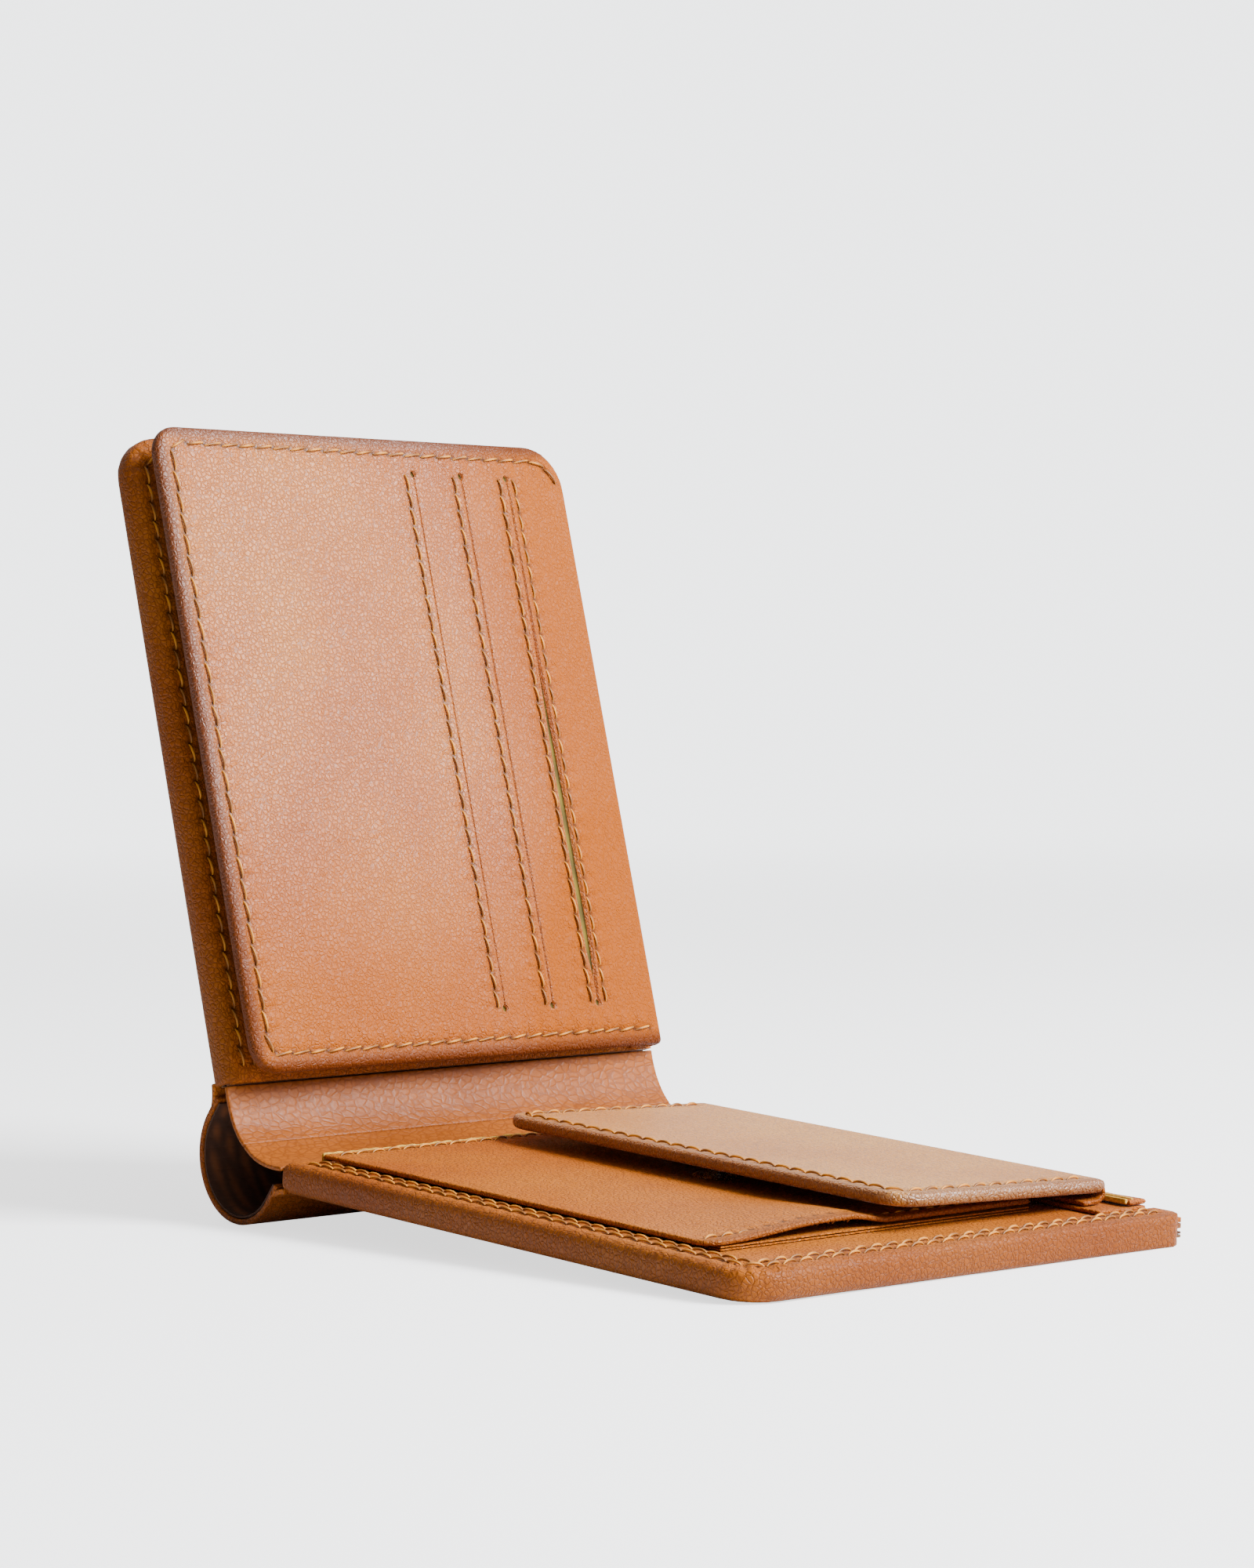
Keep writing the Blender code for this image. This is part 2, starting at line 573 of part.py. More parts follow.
def build_snap_stud(frame):
    """Male half of the snap: stud through the pocket front, clinched by an eyelet."""
    washer_bottom = POCKET_TOP + LAYER_GAP
    washer_top = washer_bottom + STUD_WASHER_THICKNESS
    knob_top = washer_top + STUD_KNOB_HEIGHT
    profile = [
        (0.0, knob_top),
        (STUD_KNOB_RADIUS * 0.8, knob_top),
        (STUD_KNOB_RADIUS, knob_top - STUD_KNOB_HEIGHT / 3),
        (STUD_NECK_RADIUS, washer_top),
        (STUD_WASHER_RADIUS * 0.9, washer_top),
        (STUD_WASHER_RADIUS, washer_bottom),
        (STUD_POST_RADIUS, washer_bottom),
        (STUD_POST_RADIUS, POCKET_BOTTOM),
        (0.0, POCKET_BOTTOM),
    ]
    turned_piece("snap_stud", frame, "steel", profile, False, SNAP_X, SNAP_Y)
    eyelet_top = POCKET_BOTTOM - LAYER_GAP
    eyelet_bottom = eyelet_top - EYELET_THICKNESS
    eyelet = [
        (0.0, eyelet_top),
        (EYELET_RADIUS, eyelet_top),
        (EYELET_RADIUS, eyelet_bottom),
        (0.0, eyelet_bottom),
    ]
    turned_piece("snap_eyelet", frame, "steel", eyelet, False, SNAP_X, SNAP_Y)


# ---- Leaves: the coin flap and the card wing -----------------------------------------------


def turned_leaf(name, frame, start, end, depth, radii, thickness, front, wall, side):
    """Front leather of a leaf that hangs on an axis along X, turned down round all its edges."""
    half = thickness / 2
    outline = rounded_outline(start, end, -depth, half, radii)
    mesh = block_mesh(name, mirrored(outline, side), -half, half)
    fold_start = half - radii[2] - TINY
    bevel_where(mesh, lambda point: point.y > fold_start, half * FOLD_ROUNDING, 3)
    bevel_where(mesh, lambda point: point.z > half - TINY and point.y < fold_start, half * RIM_ROUNDING)
    leaf = add_piece(name, mesh, frame, "leather")
    inner_radii = tuple(max(radius - wall, 0.0) for radius in radii)
    hollow_outline = rounded_outline(start + wall, end - wall, wall - depth, -half, inner_radii)
    hollow = block_mesh(name + "_hollow", mirrored(hollow_outline, side), -half - PAST, half - front)
    cut(leaf, add_cutter(name + "_hollow", hollow, frame))
    return leaf


def hinge_strip(name, frame, start, end, axis_y, axis_z, radius, base, side):
    """Strip of leather that wraps a leaf's folded edge and is sewn down on the base below it."""
    middle = radius - HINGE_LEATHER / 2
    foot_z = base + LAYER_GAP + HINGE_LEATHER / 2
    path = arc(axis_y, axis_z, middle, 0.5 * pi, -0.5 * pi, 8)
    path.append((axis_y - HINGE_FOOT_WIDTH / 2, (axis_z - middle + foot_z) / 2))
    path.append((axis_y - HINGE_FOOT_WIDTH, foot_z))
    low, high = sorted((side * start, side * end))
    return sheet_along_x(name, frame, "leather", path, low, high, HINGE_LEATHER)


def leaf_stitching(name, frame, start, end, depth, inset, corner, far_inset, height, side):
    """Stitching round the three sewn edges of a leaf, from one far corner to the other."""
    left, right, near = start + inset, end - inset, inset - depth
    radius = corner - inset
    route = [(left, -far_inset)]
    route += arc(left + radius, near + radius, radius, pi, 1.5 * pi)
    route += arc(right - radius, near + radius, radius, 1.5 * pi, 2 * pi)
    route.append((right, -far_inset))
    return thread(name, frame, mirrored(route, side), height)


def build_coin_flap(flap_frame, half_frame):
    """Snap flap of the coin pocket."""
    half = FLAP_THICKNESS / 2
    radii = (FLAP_CORNER_RADIUS, FLAP_CORNER_RADIUS, 0.0, 0.0)
    turned_leaf(
        "coin_flap_front", flap_frame, FLAP_START, FLAP_END, FLAP_DEPTH, radii,
        FLAP_THICKNESS, FLAP_FRONT_THICKNESS, WING_WALL, 1,
    )
    inset = WING_WALL + EDGE_GAP
    inner_radii = (FLAP_CORNER_RADIUS - inset, FLAP_CORNER_RADIUS - inset, 0.0, 0.0)
    outline = rounded_outline(
        FLAP_START + inset, FLAP_END - inset, inset - FLAP_DEPTH, -half - EDGE_GAP, inner_radii
    )
    socket_y = SNAP_FROM_FREE_EDGE - FLAP_DEPTH
    socket_radius = STUD_KNOB_RADIUS + SNAP_CLEARANCE + SOCKET_RING_WIDTH
    socket_hole = circle_outline(SNAP_X, socket_y, socket_radius + EDGE_GAP)
    back_top = -half + FLAP_BACK_THICKNESS
    plate("coin_flap_back", flap_frame, "leather", [outline, socket_hole], -half, back_top)
    board_bottom = back_top + LAYER_GAP
    post_hole = circle_outline(SNAP_X, socket_y, STUD_KNOB_RADIUS + SNAP_CLEARANCE)
    board = [outline, post_hole]
    plate("coin_flap_board", flap_frame, "board", board, board_bottom, board_bottom + BOARD_THICKNESS)
    ring_inner = STUD_KNOB_RADIUS + SNAP_CLEARANCE
    ring = [
        (ring_inner, back_top),
        (socket_radius, back_top),
        (socket_radius, -half),
        (ring_inner, -half),
    ]
    turned_piece("snap_socket", flap_frame, "steel", ring, True, SNAP_X, socket_y)
    leaf_stitching(
        "coin_flap_thread", flap_frame, FLAP_START, FLAP_END, FLAP_DEPTH, FLAP_STITCH_INSET,
        FLAP_CORNER_RADIUS, half + EDGE_GAP, half + THREAD_HEIGHT, 1,
    )
    radius = half + HINGE_GAP + HINGE_LEATHER
    hinge_strip(
        "coin_flap_hinge", half_frame, FLAP_START, FLAP_END,
        FLAP_AXIS_Y, FLAP_AXIS_Z, radius, FAR_HEM_TOP, 1,
    )


def slit_outline(y, width, side):
    """A straight slit with a punched hole at each end."""
    lip = asin(width / 2 / PUNCH_RADIUS)
    points = arc(SLIT_START, y, PUNCH_RADIUS, lip, 2 * pi - lip, 2 * ARC_STEPS)
    points += arc(SLIT_END, y, PUNCH_RADIUS, lip - pi, pi - lip, 2 * ARC_STEPS)
    return mirrored(points, side)


def build_card_wing(wing_frame, half_frame):
    """Card wing: slit front, three card pockets and a back, turned on the far edge."""
    side = -1
    half = WING_THICKNESS / 2
    radii = (WING_CORNER_RADIUS, WING_CORNER_RADIUS, WING_CORNER_RADIUS, 0.0)
    front = turned_leaf(
        "wing_front", wing_frame, WING_START, WING_END, WING_DEPTH, radii,
        WING_THICKNESS, WING_FRONT_THICKNESS, WING_WALL, side,
    )
    inset = WING_WALL + EDGE_GAP
    level = half - WING_FRONT_THICKNESS
    for number, (from_hinge, width) in enumerate(zip(SLIT_FROM_HINGE, SLIT_WIDTHS), start=1):
        y = -from_hinge
        outline = slit_outline(y, width, side)
        slit = block_mesh(f"wing_slit_{number}", outline, level - LAYER_GAP / 2, half + PAST)
        cut(front, add_cutter(f"wing_slit_{number}", slit, wing_frame))
        bottom = level - number * (LAYER_GAP + CARD_POCKET_THICKNESS)
        deep_end = max(y - CARD_POCKET_DEPTH, inset - WING_DEPTH)
        margin = 2 * PUNCH_RADIUS
        pocket = rounded_outline(SLIT_START - margin, SLIT_END + margin, deep_end, y + margin)
        pocket = mirrored(pocket, side)
        plate(
            f"wing_card_pocket_{number}", wing_frame, "card_lining", [pocket],
            bottom, bottom + CARD_POCKET_THICKNESS,
        )
        route = [(SLIT_START, y - SLIT_STITCH_OFFSET), (SLIT_END, y - SLIT_STITCH_OFFSET)]
        thread(f"wing_slit_thread_{number}", wing_frame, mirrored(route, side), half + THREAD_HEIGHT)
    top_y = SLIT_STITCH_OFFSET - SLIT_FROM_HINGE[-1]
    route = mirrored([(SLIT_START, top_y), (SLIT_END, top_y)], side)
    thread(f"wing_slit_thread_{CARD_POCKET_COUNT + 1}", wing_frame, route, half + THREAD_HEIGHT)
    corner = WING_CORNER_RADIUS - inset
    back_end = -half - EDGE_GAP
    corners = (corner, corner, corner, 0.0)
    back = rounded_outline(WING_START + inset, WING_END - inset, inset - WING_DEPTH, back_end, corners)
    plate("wing_back", wing_frame, "leather", [mirrored(back, side)], -half, -half + WING_BACK_THICKNESS)
    leaf_stitching(
        "wing_edge_thread", wing_frame, WING_START, WING_END, WING_DEPTH, WING_STITCH_INSET,
        WING_CORNER_RADIUS, half + EDGE_GAP, half + THREAD_HEIGHT, side,
    )
    hinge_strip(
        "wing_hinge", half_frame, WING_START, HALF_LENGTH - LIP_WIDTH - 1.0 * MM,
        WING_AXIS_Y, WING_AXIS_Z, WING_HINGE_RADIUS, PANEL_TOP, side,
    )


# ---- Standing pose -------------------------------------------------------------------------


def resting_tilt():
    """Tilt at which the spine loop and the lying half's outer edge both touch the ground."""
    radius = LOOP_RADIUS + COVER_THICKNESS / 2
    centre = Matrix.Rotation(FOLD_ANGLE, 3, "Y") @ Vector((-SPINE_WIDTH / 2, 0.0, -LOOP_LEG_LENGTH))
    run = HALF_LENGTH - TURNED_EDGE_RADIUS - centre.x
    rise = centre.z - COVER_OUTSIDE - TURNED_EDGE_RADIUS
    return asin((radius - TURNED_EDGE_RADIUS) / hypot(run, rise)) - atan2(rise, run)


def world_bounds():
    """Lowest and highest corner of all the pieces together."""
    graph = bpy.context.evaluated_depsgraph_get()
    corners = []
    for piece in PARTS.objects:
        if piece.type == "EMPTY":
            continue
        evaluated = piece.evaluated_get(graph)
        mesh = evaluated.to_mesh()
        corners += [evaluated.matrix_world @ vert.co for vert in mesh.vertices]
        evaluated.to_mesh_clear()
    low = Vector(min(corner[axis] for corner in corners) for axis in range(3))
    high = Vector(max(corner[axis] for corner in corners) for axis in range(3))
    return low, high


def centre_on_ground(root):
    """Put the wallet's bounding box bottom centre at the origin."""
    bpy.context.view_layer.update()
    low, high = world_bounds()
    root.location = (-(low.x + high.x) / 2, -(low.y + high.y) / 2, -low.z)
    bpy.context.view_layer.update()


def report_frames(frames):
    """Print each frame's place and X axis, for whoever writes the joints down."""
    for frame in frames:
        place = frame.matrix_world.translation
        along = frame.matrix_world.to_3x3() @ Vector((1.0, 0.0, 0.0))
        print(frame.name, [round(value, 6) for value in place], [round(value, 6) for value in along])


def build_wallet():
    """Build every body in its own frame, then stand the wallet on the ground."""
    tilt = resting_tilt()
    root = make_frame("wallet_frame", None, rotation=(0.0, tilt, 0.0))
    coin_half = make_frame("coin_half_frame", root)
    spine = make_frame("spine_frame", root, rotation=(0.0, FOLD_ANGLE, 0.0))
    card_half = make_frame("card_half_frame", spine, (-SPINE_WIDTH, 0.0, 0.0), (0.0, FOLD_ANGLE, 0.0))
    flap = make_frame("coin_flap_frame", coin_half, (0.0, FLAP_AXIS_Y, FLAP_AXIS_Z), (-FLAP_AJAR, 0.0, 0.0))
    wing = make_frame("card_wing_frame", card_half, (0.0, WING_AXIS_Y, WING_AXIS_Z), (-WING_AJAR, 0.0, 0.0))

    build_half("coin", coin_half, 1)
    build_coin_pocket(coin_half)
    build_snap_stud(coin_half)
    build_coin_flap(flap, coin_half)
    build_spine(spine)
    build_half("card", card_half, -1)
    build_card_wing(wing, card_half)

    centre_on_ground(root)
    print("tilt in degrees", round(degrees(tilt), 4))
    report_frames((coin_half, spine, card_half, flap, wing))


clear_scene()
PARTS = new_collection("bifold_wallet")
CUTTERS = new_collection("cutters")
build_wallet()
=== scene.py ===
"""Looks of the bifold leather wallet: soft leather pieces, real stitches, finishes and a plain studio."""

import json
import logging
from dataclasses import dataclass
from enum import Enum
from math import cos, pi, radians, sin
from typing import Callable, Optional, Sequence

import bmesh
import bpy
import numpy as np
from bpy.types import Material, Node, NodeTree
from bpy.types import NodeSocket as Socket
from bpy.types import Object as Piece
from mathutils import Matrix, Vector

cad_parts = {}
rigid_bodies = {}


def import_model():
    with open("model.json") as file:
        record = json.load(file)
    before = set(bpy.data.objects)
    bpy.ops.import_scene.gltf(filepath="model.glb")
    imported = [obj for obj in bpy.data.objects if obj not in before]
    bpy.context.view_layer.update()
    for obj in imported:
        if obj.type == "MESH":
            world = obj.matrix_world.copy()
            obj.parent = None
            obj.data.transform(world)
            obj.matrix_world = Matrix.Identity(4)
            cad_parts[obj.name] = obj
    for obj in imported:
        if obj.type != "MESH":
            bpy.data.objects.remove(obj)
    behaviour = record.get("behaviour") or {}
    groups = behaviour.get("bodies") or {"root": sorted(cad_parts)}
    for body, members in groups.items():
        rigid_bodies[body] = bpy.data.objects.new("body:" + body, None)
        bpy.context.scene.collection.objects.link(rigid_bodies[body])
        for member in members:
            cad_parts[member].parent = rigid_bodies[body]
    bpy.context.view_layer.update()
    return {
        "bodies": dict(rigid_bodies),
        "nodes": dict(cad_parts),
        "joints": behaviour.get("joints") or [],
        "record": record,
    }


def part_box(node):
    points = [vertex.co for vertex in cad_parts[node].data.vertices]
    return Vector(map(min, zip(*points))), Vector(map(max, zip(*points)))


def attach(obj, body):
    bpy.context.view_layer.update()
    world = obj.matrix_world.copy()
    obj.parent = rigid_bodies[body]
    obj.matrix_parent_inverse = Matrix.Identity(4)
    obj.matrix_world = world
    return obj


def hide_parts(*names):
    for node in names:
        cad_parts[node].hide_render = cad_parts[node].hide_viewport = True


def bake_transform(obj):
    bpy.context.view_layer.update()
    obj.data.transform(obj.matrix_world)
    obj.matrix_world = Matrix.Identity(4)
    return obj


MM = 0.001
LOG = logging.getLogger("wallet")

FOOT_WIDTH = 3.0 * MM  # hinge leather's foot on its half
BEND_END = 0.8 * MM  # below a leaf's joint, where its hinge leather has turned with it
UNDERSIDE_SUNK = 0.34 * MM  # how far a leaf's stitches lie in its underside
BANDS_PER_CYCLE = 20  # a wave texture has this many bands in one cycle of its scale
GRAIN_WOBBLE = 0.0006  # share of noise in the place that the grain's cells are read at

Point2 = tuple[float, float]
Triple = tuple[float, float, float]
Links = dict[str, Socket]


# ---- Small mesh tools ----------------------------------------------------------------------


def clear_selection() -> None:
    """Leave edit mode and deselect everything."""
    if bpy.context.object is not None and bpy.context.object.mode != "OBJECT":
        bpy.ops.object.mode_set(mode="OBJECT")
    bpy.ops.object.select_all(action="DESELECT")


def activate(piece: Piece) -> None:
    """Make a piece the only selected and the active object."""
    clear_selection()
    piece.select_set(True)
    bpy.context.view_layer.objects.active = piece


def in_edit_mode(piece: Piece, chosen: Callable, edit: Callable, kind: str = "EDGE") -> None:
    """Select edges, faces or vertices by rule, run one edit on them, and leave edit mode.

    Args:
        piece: mesh object to edit.
        chosen: rule that says whether a bmesh element is selected.
        edit: function that runs the operators.
        kind: VERT, EDGE or FACE.
    """
    activate(piece)
    bpy.ops.object.mode_set(mode="EDIT")
    bpy.ops.mesh.select_mode(type=kind)
    bpy.ops.mesh.select_all(action="DESELECT")
    shape = bmesh.from_edit_mesh(piece.data)
    for element in {"VERT": shape.verts, "EDGE": shape.edges, "FACE": shape.faces}[kind]:
        if chosen(element):
            element.select_set(True)
    bmesh.update_edit_mesh(piece.data)
    edit()
    bpy.ops.object.mode_set(mode="OBJECT")


def face_outward(piece: Piece) -> None:
    """Turn all the faces of a closed mesh outward."""
    in_edit_mode(piece, lambda _: True, lambda: bpy.ops.mesh.normals_make_consistent(inside=False), "FACE")


def apply_modifier(piece: Piece, kind: str, **settings: object) -> None:
    """Add one modifier, set it and apply it."""
    activate(piece)
    modifier = piece.modifiers.new(kind.lower(), kind)
    for name, value in settings.items():
        setattr(modifier, name, value)
    bpy.ops.object.modifier_apply(modifier=modifier.name)


def remesh(piece: Piece, voxel: float, rounds: int = 3) -> None:
    """Turn a piece into even small quads and relax them.

    Args:
        piece: closed mesh object.
        voxel: size of the new faces in metres.
        rounds: smoothing rounds.
    """
    activate(piece)
    piece.data.remesh_voxel_size = voxel
    piece.data.use_remesh_fix_poles = False
    bpy.ops.object.voxel_remesh()
    if rounds:
        apply_modifier(piece, "SMOOTH", factor=0.5, iterations=rounds)


def smooth_look(piece: Piece) -> None:
    """Shade a piece smooth."""
    activate(piece)
    bpy.ops.object.shade_smooth()


def read_points(piece: Piece) -> np.ndarray:
    """The vertices of a mesh as rows of X, Y, Z."""
    points = np.empty(len(piece.data.vertices) * 3)
    piece.data.vertices.foreach_get("co", points)
    return points.reshape(-1, 3)


def write_points(piece: Piece, points: np.ndarray) -> None:
    """Set the vertices of a mesh."""
    piece.data.vertices.foreach_set("co", points.ravel())
    piece.data.update()


def write_value(piece: Piece, name: str, values: np.ndarray) -> None:
    """Store one number per vertex for the materials to read."""
    attribute = piece.data.attributes.get(name) or piece.data.attributes.new(name, "FLOAT", "POINT")
    attribute.data.foreach_set("value", values.astype(np.float32))


def write_rest_place(piece: Piece) -> None:
    """Store each vertex's own place, so that a pattern stays on leather that bends."""
    attribute = piece.data.attributes.new("rest_place", "FLOAT_VECTOR", "POINT")
    attribute.data.foreach_set("vector", read_points(piece).astype(np.float32).ravel())


def ease(values: np.ndarray) -> np.ndarray:
    """Smooth step from 0 to 1 of values that run from 0 to 1."""
    held = np.clip(values, 0.0, 1.0)
    return held * held * (3.0 - 2.0 * held)


def bell(values: np.ndarray, width: float) -> np.ndarray:
    """Bell curve of height 1 and the given half width."""
    return np.exp(-((values / width) ** 2))


def arc(cx: float, cy: float, radius: float, start: float, end: float, steps: int = 8) -> list[Point2]:
    """Points of an arc, both ends included."""
    angles = [start + (end - start) * i / steps for i in range(steps + 1)]
    return [(cx + radius * cos(angle), cy + radius * sin(angle)) for angle in angles]


# ---- Body frames ---------------------------------------------------------------------------


@dataclass(frozen=True)
class BodyFrame:
    """Axes of one body at rest: X along the half, Y from near to far edge, Z to the inside."""

    body: str
    origin: Vector
    along: Vector
    far: Vector = Vector((0.0, 1.0, 0.0))

    @property
    def matrix(self) -> Matrix:
        """Turns the body's own coordinates into the row's."""
        inward = self.along.cross(self.far).normalized()
        columns = (self.along, self.far, inward, self.origin)
        return Matrix([[column[row] for column in columns] for row in range(3)] + [[0.0, 0.0, 0.0, 1.0]])

    def place(self, piece: Piece) -> None:
        """Move a mesh from the body's own coordinates to its place in the row frame."""
        piece.data.transform(self.matrix)
        piece.data.update()

    def point(self, x: float, y: float, z: float) -> Vector:
        """One point of the body's own coordinates, in the row frame."""
        return self.matrix @ Vector((x, y, z))


@dataclass(frozen=True)
class Frames:
    """All the body frames, from the joints' places and axes."""

    coin_half: BodyFrame
    spine: BodyFrame
    card_half: BodyFrame
    coin_flap: BodyFrame
    card_wing: BodyFrame

    @staticmethod
    def from_record(joints: Sequence[dict]) -> "Frames":
        """Work the frames out.

        Args:
            joints: the record's joints.

        Returns:
            The five frames.
        """
        by_name = {joint["name"]: joint for joint in joints}
        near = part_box("coin_cover")[0].y
        lower, upper = by_name["fold_lower"]["pos_m"], by_name["fold_upper"]["pos_m"]
        first = Vector((lower[0], near, lower[2]))
        second = Vector((upper[0], near, upper[2]))
        halves = {}
        for name in ("flap_turn", "wing_turn"):
            axis = Vector(by_name[name]["axis"]).normalized()
            halves[name] = axis if axis.z < 0 else -axis
        coin = BodyFrame("coin_half", first, halves["flap_turn"])
        card = BodyFrame("card_half", second, halves["wing_turn"])
        spine = BodyFrame("spine", first, (first - second).normalized())

        def leaf(name: str, joint: str, base: BodyFrame) -> BodyFrame:
            """A leaf's frame, turned from its half by how far it stands ajar."""
            ajar = radians(-by_name[joint]["range_deg"][0])
            inward = base.along.cross(base.far)
            far = base.far * cos(ajar) - inward * sin(ajar)
            return BodyFrame(name, Vector(by_name[joint]["pos_m"]), base.along, far)

        flap, wing = leaf("coin_flap", "flap_turn", coin), leaf("card_wing", "wing_turn", card)
        return Frames(coin, spine, card, flap, wing)


# ---- Finishes ------------------------------------------------------------------------------


def colour(code: str) -> tuple[float, float, float, float]:
    """Turn an sRGB hex value to the linear colour that a shader takes."""
    channels = [int(code[i : i + 2], 16) / 255 for i in (0, 2, 4)]
    linear = [c / 12.92 if c <= 0.04045 else ((c + 0.055) / 1.055) ** 2.4 for c in channels]
    return (*linear, 1.0)


def add_node(
    tree: NodeTree, kind: str, links: Optional[Links] = None, **settings: object
) -> Node:
    """Add a node, set its properties and inputs, and link it.

    Args:
        tree: node tree to add to.
        kind: node type.
        links: input name or number to the socket that feeds it.
        settings: node properties; a name that starts with in_ sets an input's own value.

    Returns:
        The new node.
    """
    node = tree.nodes.new(kind)
    for name, value in settings.items():
        if name.startswith("in_"):
            key = name[3:]
            socket = node.inputs[int(key)] if key.isdigit() else node.inputs[key.replace("_", " ")]
            socket.default_value = value
        else:
            setattr(node, name, value)
    for key, source in (links or {}).items():
        tree.links.new(source, node.inputs[int(key)] if key.isdigit() else node.inputs[key])
    return node


class Grounding(Enum):
    """What a pattern is fixed to."""

    OBJECT = "object"
    REST_PLACE = "rest_place"


def cycles_per_metre(size_mm: float) -> float:
    """Pattern scale for features of the given size in millimetres."""
    return 1.0 / (size_mm * MM)


class NewFinish:
    """A material being made: its shader, and short ways to add the nodes that feed it."""

    def __init__(self, name: str, grounding: Grounding = Grounding.OBJECT) -> None:
        """Start the material.

        Args:
            name: the material's name.
            grounding: what its patterns are fixed to.
        """
        self.material = bpy.data.materials.new(name)
        self.material.use_nodes = True
        self.tree = self.material.node_tree
        self.shader = self.tree.nodes["Principled BSDF"]
        if grounding is Grounding.REST_PLACE:
            self.place = self.attribute("rest_place", "Vector")
        else:
            self.place = self.add("ShaderNodeTexCoord").outputs["Object"]

    def add(self, kind: str, links: Optional[Links] = None, **settings: object) -> Node:
        """Add a node."""
        return add_node(self.tree, kind, links, **settings)

    def attribute(self, name: str, output: str = "Fac") -> Socket:
        """Read what the mesh stores under a name."""
        return self.add("ShaderNodeAttribute", attribute_name=name).outputs[output]

    def stretched(self, stretch: Triple) -> Socket:
        """The pattern's place, stretched along its axes."""
        return self.add("ShaderNodeMapping", {"Vector": self.place}, in_Scale=stretch).outputs["Vector"]

    def noise(
        self, place: Socket, size_mm: float, detail: float, output: str = "Fac", **more: float
    ) -> Socket:
        """Noise with features of the given size."""
        scale = cycles_per_metre(size_mm)
        node = self.add("ShaderNodeTexNoise", {"Vector": place}, in_Scale=scale, in_Detail=detail, **more)
        return node.outputs[output]

    def bands(self, direction: str, thread_mm: float, distortion: float, detail: float) -> Socket:
        """Soft bands of the given width, for threads that lie side by side."""
        scale = cycles_per_metre(thread_mm) / BANDS_PER_CYCLE
        return self.add(
            "ShaderNodeTexWave", {"Vector": self.place}, bands_direction=direction, in_Scale=scale,
            in_Distortion=distortion, in_Detail=detail,
        ).outputs["Fac"]

    def ranged(self, value: Socket, source: Point2, target: Point2, **more: str) -> Socket:
        """Map one range of values onto another."""
        ends = {"in_1": source[0], "in_2": source[1], "in_3": target[0], "in_4": target[1]}
        return self.add("ShaderNodeMapRange", {"Value": value}, **ends, **more).outputs[0]

    def times(self, value: Socket, other: Socket | float) -> Socket:
        """Multiply a value by another value or by a number."""
        if isinstance(other, float):
            return self.add("ShaderNodeMath", {"0": value}, operation="MULTIPLY", in_1=other).outputs[0]
        return self.add("ShaderNodeMath", {"0": value, "1": other}, operation="MULTIPLY").outputs[0]

    def mixed(self, share: Socket, low: Socket | str, high: str) -> Socket:
        """Mix towards a hex colour, from a socket or from another hex colour."""
        links, tones = {"0": share}, {"in_7": colour(high)}
        if isinstance(low, str):
            tones["in_6"] = colour(low)
        else:
            links["6"] = low
        return self.add("ShaderNodeMix", links, data_type="RGBA", **tones).outputs[2]

    def ramp(self, value: Socket, stops: Sequence[tuple[float, str]]) -> Socket:
        """Colours along a value, from the lowest stop to the highest."""
        node = self.add("ShaderNodeValToRGB", {"Fac": value})
        steps = node.color_ramp.elements
        for element, (place, code) in zip((steps[0], steps[1]), (stops[0], stops[-1])):
            element.position, element.color = place, colour(code)
        for place, code in stops[1:-1]:
            steps.new(place).color = colour(code)
        return node.outputs["Color"]

    def relief(
        self, height: Socket, strength: float, depth_mm: float, under: Optional[Socket] = None
    ) -> Socket:
        """Bump from a height, on top of another relief if there is one."""
        links = {"Height": height} if under is None else {"Height": height, "Normal": under}
        bump = self.add("ShaderNodeBump", links, in_Strength=strength, in_Distance=depth_mm * MM)
        return bump.outputs["Normal"]

    def feed(self, **inputs: object) -> Material:
        """Link sockets to the shader's inputs, or set the inputs' own values.

        Args:
            inputs: by input name, with _ for each space.

        Returns:
            The finished material.
        """
        for name, value in inputs.items():
            target = self.shader.inputs[name.replace("_", " ")]
            if isinstance(value, Socket):
                self.tree.links.new(value, target)
            else:
                target.default_value = value
        return self.material


